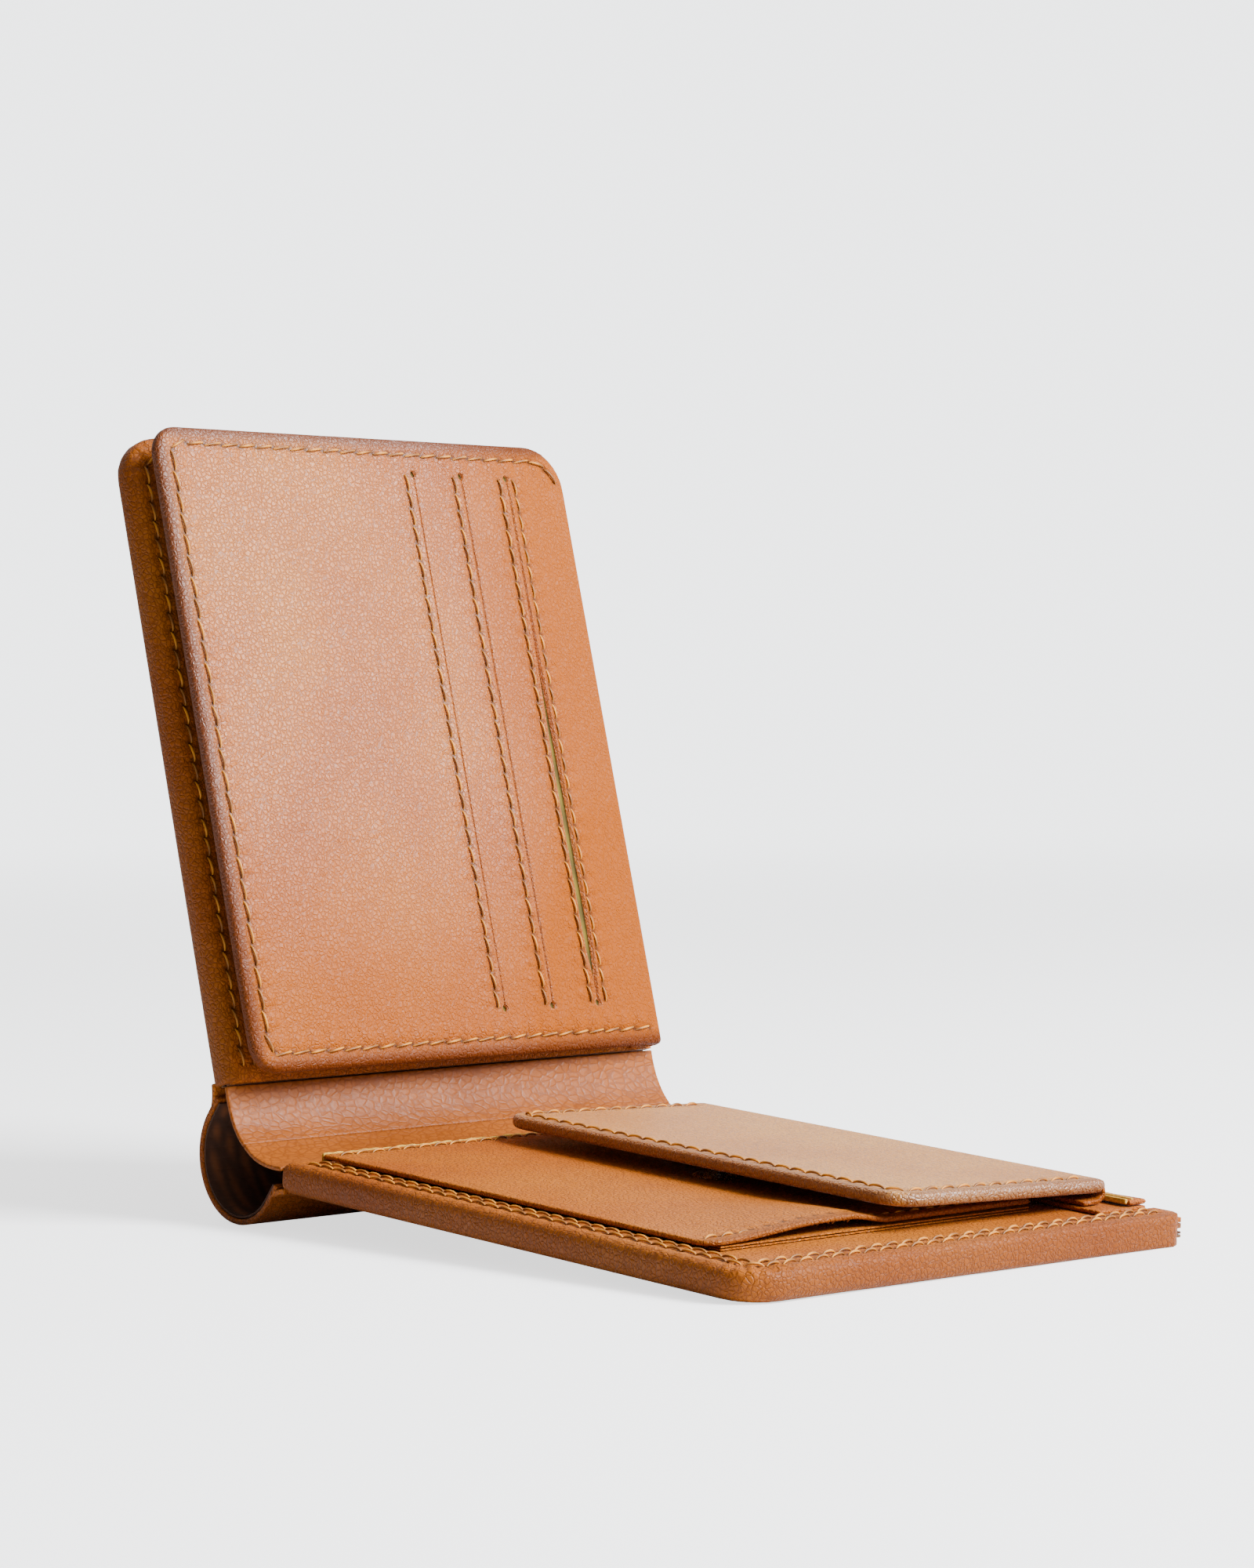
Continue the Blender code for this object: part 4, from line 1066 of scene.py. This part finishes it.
@dataclass
class CardWing:
    """Card wing: a soft turned leaf with three card slits, and its stitching."""

    work: LeatherWork
    stitcher: Stitcher
    frame: BodyFrame
    half: BodyFrame
    start: float = 1.0 * MM
    end: float = 103.6 * MM
    depth: float = 83.075 * MM
    thickness: float = 2.35 * MM
    fold_reach: float = 1.95 * MM
    corner: float = 4.5 * MM
    far_corner: float = 7.5 * MM
    stitch_inset: float = 2.8 * MM
    slit_ends: Point2 = (8.5 * MM, 97.6 * MM)
    hinge_end: float = 96.5 * MM
    slits: tuple[float, ...] = (31.5 * MM, 21.2 * MM, 11.2 * MM)
    slit_widths: tuple[float, ...] = (0.30 * MM, 0.30 * MM, 1.7 * MM)
    punch: float = 0.62 * MM
    slit_depth: float = 0.75 * MM
    beside: float = 1.6 * MM
    voxel: float = 0.5 * MM

    def edge_seam(self, facing: int = 1) -> Seam:
        """Stitching round the spine-side, near and outer edges."""
        near = self.stitch_inset - self.depth
        radius = self.corner - self.stitch_inset + 0.6 * MM
        left, right = self.start + self.stitch_inset, self.end - self.stitch_inset
        route = [(left, -0.6 * MM)]
        route += arc(left + radius, near + radius, radius, pi, 1.5 * pi)
        route += arc(right - radius, near + radius, radius, 1.5 * pi, 2 * pi)
        turn = self.far_corner - self.stitch_inset + MM
        route += arc(right - turn, self.fold_reach - self.far_corner, turn, 0.0, 0.4 * pi)
        route = [(-x, y) for x, y in route]
        sunk = 0.0 if facing > 0 else UNDERSIDE_SUNK
        return Seam(route, facing * self.thickness / 2, facing=facing, puff_side=-1, sunk=sunk)

    def slit_seams(self) -> list[Seam]:
        """One line on the near side of each slit and one on the far side of the last."""
        first, last = self.slit_ends
        top = self.thickness / 2
        made = [
            Seam([(-first, -place - self.beside), (-last, -place - self.beside)], top, 3.0 * MM, puff_side=1)
            for place in self.slits
        ]
        far = self.beside - self.slits[-1]
        made.append(Seam([(-first, far), (-last, far)], top, 3.0 * MM, puff_side=-1))
        return made

    def slit_cutters(self, place: float, width: float) -> list[Piece]:
        """A narrow blade and a round punch for each end; a wide blade opens in its lower part."""
        first, last = self.slit_ends
        top = self.thickness / 2
        across = (-place - width / 2, -place + width / 2)
        blade = self.work.slab("slit_blade", Box((-last, -first), across, (top - self.slit_depth, top + MM)))
        in_edit_mode(
            blade, lambda edge: abs(edge.verts[0].co.x - edge.verts[1].co.x) > MM,
            lambda: bpy.ops.mesh.subdivide(number_cuts=20),
        )
        points = read_points(blade)
        if width > 0.5 * MM:
            ratio = (-points[:, 0] - first) / (last - first)
            gape = 0.25 + 0.75 * ease(ratio / 0.12) * (1.0 - ease((ratio - 0.35) / 0.45))
            points[:, 1] = -place + (points[:, 1] + place) * gape
            write_points(blade, points)
        cutters = [blade]
        for x in (-first, -last):
            clear_selection()
            bpy.ops.mesh.primitive_cylinder_add(
                vertices=16, radius=self.punch, depth=self.slit_depth + MM,
                location=(x, -place, top - self.slit_depth / 2 + MM / 2),
            )
            bpy.ops.object.transform_apply(location=True, rotation=True, scale=True)
            cutters.append(bpy.context.object)
        return cutters

    def build_leaf(self) -> Piece:
        """The leaf: turned edges, folded far edge, pressed seams, slits and punched holes."""
        half = self.thickness / 2
        box = Box((-self.end, -self.start), (-self.depth, self.fold_reach), (-half, half))
        radii = (self.corner, self.corner, 0.6 * MM, self.far_corner)
        leaf = self.work.rounded_plate("card_wing_leaf", box, radii, half * 0.88, self.voxel)
        seams = [(self.edge_seam(), 0.26, 0.24), (self.edge_seam(-1), 0.16, 0.05)]
        points = self.work.press_seams(leaf, seams + [(seam, 0.22, 0.24) for seam in self.slit_seams()])
        top = ease((points[:, 2] + half * 0.2) / (half * 1.2))
        for place, width in zip(self.slits, self.slit_widths):
            inside = ease((-points[:, 0] - self.slit_ends[0]) / (4 * MM)) * ease(
                (self.slit_ends[1] + points[:, 0]) / (4 * MM)
            )
            lift = bell(points[:, 1] + place - 0.9 * MM, 1.1 * MM)
            lift += 0.6 * bell(points[:, 1] + place + 0.7 * MM, 0.6 * MM)
            points[:, 2] += top * inside * lift * (0.10 * MM + 0.10 * width)
        # Soft swell of the plain field between the near edge and the first slit
        swell = ease((points[:, 1] + self.depth - 3 * MM) / (14 * MM))
        swell *= ease((-self.slits[0] - points[:, 1]) / (16 * MM))
        swell *= ease((-points[:, 0] - 4 * MM) / (14 * MM))
        swell *= ease((self.end + points[:, 0] - 3 * MM) / (14 * MM))
        points[:, 2] += top * swell * 0.35 * MM
        write_points(leaf, points)
        # Rims darkened: partly burnish, partly painted shade
        from_edge = np.minimum(points[:, 0] + self.end, -self.start - points[:, 0])
        from_edge = np.minimum(from_edge, points[:, 1] + self.depth)
        rim = 1.0 - ease((from_edge - 0.8 * MM) / (2.2 * MM))
        # Painted shade: deeper and less shiny towards the folded far edge and the spine, so the field away
        # from them reads as a painted highlight
        far_side_shade = 0.9 * ease((points[:, 1] + 34 * MM) / (30 * MM))
        painted_shade = 0.8 * ease((points[:, 0] + 50 * MM) / (46 * MM))
        write_value(leaf, "rim", rim * 0.9)
        write_value(leaf, "painted_shade", np.clip(far_side_shade + painted_shade, 0.0, 1.0))
        for place, width in zip(self.slits, self.slit_widths):
            for cutter in self.slit_cutters(place, width):
                self.work.subtract(leaf, cutter)
        return self.work.finish(leaf, self.frame, self.work.finishes.glazed, ["wing_front", "wing_back"])

    def build_linings(self) -> None:
        """Pocket lining that shows at the bottom of each slit."""
        first, last = self.slit_ends
        top = self.thickness / 2
        for number, (place, width) in enumerate(zip(self.slits, self.slit_widths), start=1):
            reach = max(width, 2 * self.punch) / 2 + 0.3 * MM
            box = Box(
                (-last - 1.5 * MM, -first + 1.5 * MM), (-place - reach, -place + reach),
                (top - self.slit_depth - 0.3 * MM, top - self.slit_depth + 0.12 * MM),
            )
            name, replaced = f"slit_lining_{number}", [f"wing_card_pocket_{number}"]
            strip = self.work.rounded_plate(name, box, (0.3 * MM,) * 4, 0.1 * MM, 0.2 * MM, 1)
            lining = self.work.finishes.card_lining
            self.work.finish(strip, self.frame, lining, replaced, "card_pocket_lining")

    def build_hinge(self) -> None:
        """Leather that wraps the folded far edge."""
        self.work.hinge(
            "wing_hinge", self.half, self.frame, axis=(83.975 * MM, 6.025 * MM), foot=3.5 * MM + 0.55 * MM,
            turn=((1.3, -0.2), (1.45, -0.9), (1.3, -1.4), (0.8, -1.8)), span=(-self.hinge_end, -self.start),
            middle=-50 * MM, thickness=0.7 * MM, cells=120, rim=0.5,
        )

    def build(self) -> None:
        """Build the wing's pieces."""
        self.build_leaf()
        self.build_linings()
        self.build_hinge()
        edges = [self.edge_seam(), self.edge_seam(-1)]
        self.stitcher.sew("wing_edge_stitches", edges, self.frame, ["wing_edge_thread"])
        for number, seam in enumerate(self.slit_seams(), start=1):
            replaced = [f"wing_slit_thread_{number}"]
            self.stitcher.sew(f"wing_slit_stitches_{number}", [seam], self.frame, replaced)


@dataclass
class CoinFlap:
    """Snap flap of the coin pocket and its hinge leather."""

    work: LeatherWork
    stitcher: Stitcher
    frame: BodyFrame
    half: BodyFrame
    start: float = 4.5 * MM
    end: float = 92.5 * MM
    depth: float = 41.0 * MM
    thickness: float = 2.1 * MM
    fold_reach: float = 1.75 * MM
    corner: float = 5.5 * MM
    stitch_inset: float = 2.5 * MM
    socket: Point2 = (48.5 * MM, -35.0 * MM)
    socket_radius: float = 4.1 * MM
    socket_room: float = 0.25 * MM
    recess_depth: float = 0.75 * MM
    voxel: float = 0.45 * MM

    def seam(self, facing: int) -> Seam:
        """Stitching round three edges, on the top or on the underside."""
        near = self.stitch_inset - self.depth
        radius = self.corner - self.stitch_inset
        left, right = self.start + self.stitch_inset, self.end - self.stitch_inset
        route = [(left, -1.4 * MM)]
        route += arc(left + radius, near + radius, radius, pi, 1.5 * pi)
        route += arc(right - radius, near + radius, radius, 1.5 * pi, 2 * pi)
        route.append((right, -1.4 * MM))
        sunk = 0.0 if facing > 0 else UNDERSIDE_SUNK
        return Seam(route, facing * self.thickness / 2, 3.2 * MM, facing, puff_side=1, sunk=sunk)

    def build_leaf(self) -> None:
        """The flap's leather with its pressed seam and the recess for the snap's socket."""
        half = self.thickness / 2
        box = Box((self.start, self.end), (-self.depth, self.fold_reach), (-half, half))
        leaf = self.work.rounded_plate(
            "coin_flap_leaf", box, (self.corner, self.corner, 0.5 * MM, 0.5 * MM), half * 0.85, self.voxel
        )
        points = self.work.press_seams(leaf, [(self.seam(1), 0.2, 0.12), (self.seam(-1), 0.16, 0.06)])
        write_points(leaf, points)
        # Rims darkened: partly burnish, partly painted shade
        from_edge = np.minimum(points[:, 0] - self.start, self.end - points[:, 0])
        from_edge = np.minimum(from_edge, points[:, 1] + self.depth)
        write_value(leaf, "rim", 0.7 * (1.0 - ease((from_edge - 0.6 * MM) / (2.0 * MM))))
        clear_selection()
        bpy.ops.mesh.primitive_cylinder_add(
            vertices=40, radius=self.socket_radius + self.socket_room, depth=2 * MM,
            location=(*self.socket, -half - MM + self.recess_depth),
        )
        recess = bpy.context.object
        bpy.ops.object.transform_apply(location=True, rotation=True, scale=True)
        self.work.subtract(leaf, recess)
        replaced = ["coin_flap_front", "coin_flap_back"]
        self.work.finish(leaf, self.frame, self.work.finishes.polished_with_painted_sheen, replaced)

    def build_hinge(self) -> None:
        """Leather that wraps the flap's folded edge."""
        self.work.hinge(
            "coin_flap_hinge", self.half, self.frame, axis=(79.5 * MM, 7.0 * MM), foot=4.25 * MM + 0.5 * MM,
            turn=((1.15, -0.2), (1.3, -0.9), (1.2, -1.4), (0.7, -1.9)), span=(self.start, self.end),
            middle=48 * MM, thickness=0.66 * MM, cells=100, rim=0.35,
        )

    def build(self) -> None:
        """Build the flap's pieces."""
        self.build_leaf()
        self.build_hinge()
        seams = [self.seam(1), self.seam(-1)]
        self.stitcher.sew("coin_flap_stitches", seams, self.frame, ["coin_flap_thread"])


@dataclass
class CoinPocket:
    """Front of the coin pocket, its raw edge, rim and stitching, and the far edge behind the flap."""

    work: LeatherWork
    stitcher: Stitcher
    frame: BodyFrame
    x: Point2 = (2.0 * MM, 88.0 * MM)
    y: Point2 = (6.8 * MM, 70.0 * MM)
    z: Point2 = (4.4 * MM, 5.2 * MM)
    corner: float = 3.0 * MM
    side_inset: float = 1.7 * MM
    rim_inset: float = 2.6 * MM
    voxel: float = 0.4 * MM

    def seams(self) -> dict[str, Seam]:
        """Stitching at the spine side and at the rim."""
        low, high = self.y[0] + self.side_inset, self.y[1] - self.side_inset
        side, rim = self.x[0] + self.side_inset, self.x[1] - self.rim_inset
        return {
            "coin_pocket_side_thread": Seam([(side, low), (side, high)], self.z[1], 3.0 * MM, puff_side=-1),
            "coin_pocket_rim_thread": Seam([(rim, low), (rim, high)], self.z[1], 3.0 * MM, puff_side=1),
        }

    def build_front(self) -> None:
        """The pocket's front leather, pressed along its seams."""
        box, radii = Box(self.x, self.y, self.z), (0.0, self.corner, 0.0, 0.0)
        front = self.work.rounded_plate("coin_pocket_front_leather", box, radii, 0.3 * MM, self.voxel, 2)
        points = self.work.press_seams(front, [(seam, 0.14, 0.1) for seam in self.seams().values()])
        rim_lift = ease((points[:, 0] - 62 * MM) / (24 * MM)) * ease((points[:, 1] - 10 * MM) / (20 * MM))
        under_flap = ease((points[:, 1] - 34 * MM) / (8 * MM))
        points[:, 2] += rim_lift * (1.3 - 1.05 * under_flap) * MM
        write_points(front, points)
        # Rim darkened: partly burnish, partly painted shade
        write_value(front, "rim", 0.6 * bell(points[:, 0] - self.x[1], 2.0 * MM))
        self.work.finish(front, self.frame, self.work.finishes.tan, ["coin_pocket_front"])

    def build_raw_edge(self) -> None:
        """Raw cut edge of the leather at the pocket's spine side."""
        across = (self.x[0] - 0.35 * MM, self.x[0] + 0.15 * MM)
        box = Box(across, self.y, (self.z[0] - 0.5 * MM, self.z[1] + 0.12 * MM))
        strip = self.work.rounded_plate("coin_pocket_raw_edge", box, (0.0,) * 4, 0.15 * MM, 0.2 * MM, 1)
        points = read_points(strip)
        for height, length in ((0.06 * MM, 1.1 * MM), (0.05 * MM, 0.37 * MM)):
            points[:, 2] += height * np.sin(points[:, 1] / length)
        write_points(strip, points)
        self.work.finish(strip, self.frame, self.work.finishes.raw_edge, [])

    def build_far_edge(self) -> None:
        """Turned hem along the far edge and the rolled ridge on it with its raw edges."""
        span, far = (2.0 * MM, 96.0 * MM), 86.0 * MM
        hem_box = Box(span, (76.0 * MM, far), (3.65 * MM, 4.25 * MM))
        hem = self.work.rounded_plate("coin_far_hem_leather", hem_box, (0.0,) * 4, 0.2 * MM, 0.3 * MM, 1)
        self.work.finish(hem, self.frame, self.work.finishes.tan, ["coin_far_hem"])
        roll_box = Box(span, (82.4 * MM, far), (4.4 * MM, 5.3 * MM))
        roll = self.work.rounded_plate("coin_far_roll_leather", roll_box, (0.0,) * 4, 0.4 * MM, 0.25 * MM, 2)
        points = read_points(roll)
        wave = np.sin(points[:, 0] / (5.3 * MM)) * 0.12 * MM + np.sin(points[:, 0] / (2.1 * MM)) * 0.05 * MM
        points[:, 2] += ease((points[:, 2] - 4.7 * MM) / (0.6 * MM)) * wave
        write_points(roll, points)
        self.work.finish(roll, self.frame, self.work.finishes.tan, ["coin_far_roll"])
        for number, y in enumerate((82.25 * MM, 83.6 * MM), start=1):
            box = Box((2.5 * MM, 95.5 * MM), (y - 0.25 * MM, y + 0.25 * MM), (4.6 * MM, 5.45 * MM))
            name = f"coin_far_raw_edge_{number}"
            edge = self.work.rounded_plate(name, box, (0.0,) * 4, 0.15 * MM, 0.2 * MM, 1)
            self.work.finish(edge, self.frame, self.work.finishes.raw_edge, [])

    def build(self) -> None:
        """Build the pocket's pieces."""
        self.build_front()
        self.build_raw_edge()
        self.build_far_edge()
        for name, seam in self.seams().items():
            self.stitcher.sew(name.replace("thread", "stitches"), [seam], self.frame, [name])


@dataclass
class Spine:
    """Loose outer loop, the creases that join it to the halves, and the inner web."""

    work: LeatherWork
    frames: Frames
    width: float = 21.0 * MM
    height: float = 86.0 * MM
    leg_inset: float = 0.9 * MM
    leg_length: float = 3.6 * MM
    cover: float = 0.9 * MM
    cells: int = 90

    def build_loop(self) -> None:
        """The outer leather's loose loop."""
        radius = self.width / 2 - self.leg_inset
        middle = -self.width / 2
        path = [(middle + radius, 0.1 * MM), (middle + radius, -1.2 * MM), (middle + radius, -2.4 * MM)]
        path += arc(middle, -self.leg_length, radius, 0.0, -pi, 40)
        path += [(middle - radius, -2.4 * MM), (middle - radius, -1.2 * MM), (middle - radius, 0.1 * MM)]
        span = (0.0, self.height)
        loop = self.work.swept_sheet("spine_loop_leather", path, span, self.cover, self.cells, False)
        # Near rim darkened: partly burnish, partly painted shade
        write_value(loop, "rim", 0.5 * bell(read_points(loop)[:, 1], 1.5 * MM))
        write_value(loop, "needle_hole_shade", np.zeros(len(loop.data.vertices)))
        self.work.finish(loop, self.frames.spine, self.work.finishes.tan, ["spine_cover"])

    def in_spine(self, frame: BodyFrame, x: float, z: float) -> Point2:
        """A point of a half's XZ plane, in the spine's."""
        point = self.frames.spine.matrix.inverted() @ frame.point(x, 0.0, z)
        return point.x, point.z

    def build_creases(self) -> None:
        """Where the cover leaves each half and turns down into the loop."""
        for frame, side, name in ((self.frames.coin_half, 1, "lower"), (self.frames.card_half, -1, "upper")):
            leg_x = -self.leg_inset if side > 0 else -self.width + self.leg_inset
            start = self.in_spine(frame, side * 1.6 * MM, 0.0)
            knee = self.in_spine(frame, side * 0.2 * MM, 0.0)
            end = (leg_x, -1.9 * MM)
            path = []
            for i in range(13):
                t = i / 12
                weights = ((1 - t) ** 2, 2 * t * (1 - t), t * t)
                path.append(tuple(sum(w * p[k] for w, p in zip(weights, (start, knee, end))) for k in (0, 1)))
            crease = self.work.swept_sheet(
                f"spine_crease_{name}", path, (0.0, self.height), self.cover - 0.06 * MM, self.cells, False
            )
            ends = (self.frames.spine.point(*start_end(start)), self.frames.spine.point(*start_end(end)))
            bending = self.work.finishes.bending
            self.work.bend(crease, self.frames.spine, bending, (frame.body, "spine"), ends, [])

    def build_web(self) -> None:
        """Inner web in two pieces, each bending over its own fold."""
        middle = -self.width / 2
        end = self.in_spine(self.frames.coin_half, 0.5 * MM, 3.3 * MM)
        reach = end[0] - middle
        rise = 3.8 * MM
        steps = 16
        for side, name, body in ((1, "lower", "coin_half"), (-1, "upper", "card_half")):
            path = []
            for i in range(steps + 1):
                t = i / steps
                path.append((middle + side * reach * t, end[1] - rise + rise * t * t))
            span = (0.0, self.height)
            sheet = self.work.swept_sheet(f"spine_web_{name}", path, span, 0.7 * MM, self.cells, False)
            points = read_points(sheet)
            sway = np.sin(points[:, 1] / (11 * MM) + side) * np.sin(points[:, 0] / (3.1 * MM))
            points[:, 2] += 0.12 * MM * sway * (1 - ((points[:, 0] - middle) / reach) ** 2)
            write_points(sheet, points)
            ends = (
                self.frames.spine.point(middle + side * reach * 0.25, 0.0, end[1] - rise),
                self.frames.spine.point(middle + side * reach, 0.0, end[1]),
            )
            replaced = ["spine_web", "spine_web_hem"] if side > 0 else []
            self.work.bend(sheet, self.frames.spine, self.work.finishes.web, ("spine", body), ends, replaced)

    def build(self) -> None:
        """Build the spine's pieces."""
        self.build_loop()
        self.build_creases()
        self.build_web()


def start_end(pair: Point2) -> Triple:
    """A point of the XZ plane with Y at the near edge."""
    return pair[0], 0.0, pair[1]


@dataclass
class CarriedParts:
    """Parts of the frame that keep their shape and get a real finish."""

    finishes: Finishes

    def build(self) -> None:
        """Dress them."""
        f = self.finishes
        table = {
            f.board: ("coin_board", "card_board", "coin_flap_board"),
            f.lining: ("coin_bill_lining", "card_bill_lining", "spine_lining"),
            f.flesh: ("coin_divider", "card_divider", "coin_pocket_mouth_hem"),
            f.tan: ("coin_panel", "card_panel", "coin_pocket_gusset"),
            f.nickel: ("snap_stud", "snap_eyelet", "snap_socket"),
        }
        for material, names in table.items():
            for name in names:
                f.dress_node(NODES[name], material)
                LOG.info("%s: %s", name, material.name)


@dataclass
class Studio:
    """Pale floor, soft lights and the camera."""

    camera_place: Triple = (0.46901, -0.40654, 0.0825)
    yaw: float = radians(40.95)
    pitch: float = radians(-1.47)
    roll: float = radians(-0.443)
    lens: float = 94.7
    sensor: float = 36.0
    clip: Point2 = (0.01, 50.0)
    floor_radius: float = 3.0
    floor_fade: Point2 = (0.45, 1.6)
    floor_glow: float = 1.6
    backdrop: str = "E9EBED"
    bright_side: Triple = (0.2, 0.93, 0.3)
    ambient: Point2 = (0.02, 1.3)
    ambient_turn: Point2 = (-0.7, 0.8)
    backdrop_glow: float = 4.2
    aim: Triple = (0.0, 0.0, 0.04)
    key: tuple[Triple, float, float] = ((0.85, 0.45, 0.8), 0.6, 52.0)
    fill: tuple[Triple, float, float] = ((0.9, -0.7, 0.6), 0.8, 0.3)

    def build_camera(self) -> None:
        """Camera at the viewing angle."""
        clear_selection()
        bpy.ops.object.camera_add(location=self.camera_place)
        camera = bpy.context.object
        forward = Vector((-cos(self.yaw) * cos(self.pitch), sin(self.yaw) * cos(self.pitch), sin(self.pitch)))
        turned = forward.to_track_quat("-Z", "Y").to_matrix() @ Matrix.Rotation(self.roll, 3, "Z")
        camera.rotation_euler = turned.to_euler()
        camera.data.lens = self.lens
        camera.data.sensor_width = self.sensor
        camera.data.clip_start, camera.data.clip_end = self.clip
        bpy.context.scene.camera = camera

    def build_floor(self) -> None:
        """Round pale floor that fades into the backdrop."""
        clear_selection()
        bpy.ops.mesh.primitive_circle_add(vertices=96, radius=self.floor_radius, fill_type="NGON")
        floor = bpy.context.object
        floor.name = "studio_floor"
        new = NewFinish("pale_studio_paper")
        tooth = new.noise(new.place, 0.8, 2.0)
        seen = new.add("ShaderNodeLightPath").outputs["Is Camera Ray"]
        material = new.feed(
            Base_Color=new.mixed(tooth, "EDEFF1", "E8EAED"), Roughness=0.8, Emission_Color=colour("FFFFFF"),
            Emission_Strength=new.times(seen, self.floor_glow),
        )
        distance = new.add("ShaderNodeVectorMath", {"0": new.place}, operation="LENGTH").outputs["Value"]
        fade = new.ranged(distance, self.floor_fade, (0.0, 1.0), interpolation_type="SMOOTHSTEP")
        clear = new.add("ShaderNodeBsdfTransparent").outputs[0]
        mixed = new.add("ShaderNodeMixShader", {"0": fade, "1": new.shader.outputs[0], "2": clear}).outputs[0]
        new.tree.links.new(mixed, new.tree.nodes["Material Output"].inputs["Surface"])
        floor.data.materials.append(material)

    def add_light(self, name: str, place: Triple, size: float, power: float) -> None:
        """A square soft light that looks at the wallet.

        Args:
            name: the light's name.
            place: where it stands.
            size: side of the square in metres.
            power: in watts.
        """
        clear_selection()
        bpy.ops.object.light_add(type="AREA", location=place)
        light = bpy.context.object
        light.name = name
        light.rotation_euler = (Vector(self.aim) - Vector(place)).to_track_quat("-Z", "Y").to_euler()
        light.data.size = size
        light.data.energy = power

    def build_world(self) -> None:
        """Even pale surroundings."""
        world = bpy.data.worlds.new("pale_studio")
        world.use_nodes = True
        background = world.node_tree.nodes["Background"]
        background.inputs["Color"].default_value = colour(self.backdrop)
        direction = add_node(world.node_tree, "ShaderNodeTexCoord").outputs["Generated"]
        facing = add_node(
            world.node_tree, "ShaderNodeVectorMath", {"0": direction}, operation="DOT_PRODUCT",
            in_1=self.bright_side,
        ).outputs["Value"]
        strength = add_node(
            world.node_tree, "ShaderNodeMapRange", {"Value": facing}, in_1=self.ambient_turn[0],
            in_2=self.ambient_turn[1], in_3=self.ambient[0], in_4=self.ambient[1],
        ).outputs[0]
        world.node_tree.links.new(strength, background.inputs["Strength"])
        pale, glow = colour(self.backdrop), self.backdrop_glow
        seen = add_node(world.node_tree, "ShaderNodeBackground", in_Color=pale, in_Strength=glow)
        path = add_node(world.node_tree, "ShaderNodeLightPath")
        mixed = add_node(
            world.node_tree, "ShaderNodeMixShader",
            {"0": path.outputs["Is Camera Ray"], "1": background.outputs[0], "2": seen.outputs[0]},
        ).outputs[0]
        world.node_tree.links.new(mixed, world.node_tree.nodes["World Output"].inputs["Surface"])
        bpy.context.scene.world = world

    def build(self) -> None:
        """Build the studio."""
        self.build_world()
        self.build_floor()
        self.add_light("key", *self.key)
        self.add_light("fill", *self.fill)
        self.build_camera()


def main(frame: dict) -> None:
    """Build every sub-assembly in order.
    """
    logging.basicConfig(level=logging.INFO, format="%(message)s")
    NODES.update(frame["nodes"])
    frames = Frames.from_record(frame["joints"])
    finishes = Finishes()
    work = LeatherWork(finishes)
    stitcher = Stitcher(finishes)
    CarriedParts(finishes).build()
    WalletHalf(work, stitcher, frames.coin_half, "coin", 1).build()
    WalletHalf(work, stitcher, frames.card_half, "card", -1).build()
    CardWing(work, stitcher, frames.card_wing, frames.card_half).build()
    CoinFlap(work, stitcher, frames.coin_flap, frames.coin_half).build()
    CoinPocket(work, stitcher, frames.coin_half).build()
    Spine(work, frames).build()
    Studio().build()


if __name__ == "__main__":
    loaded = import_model()
    main(loaded)
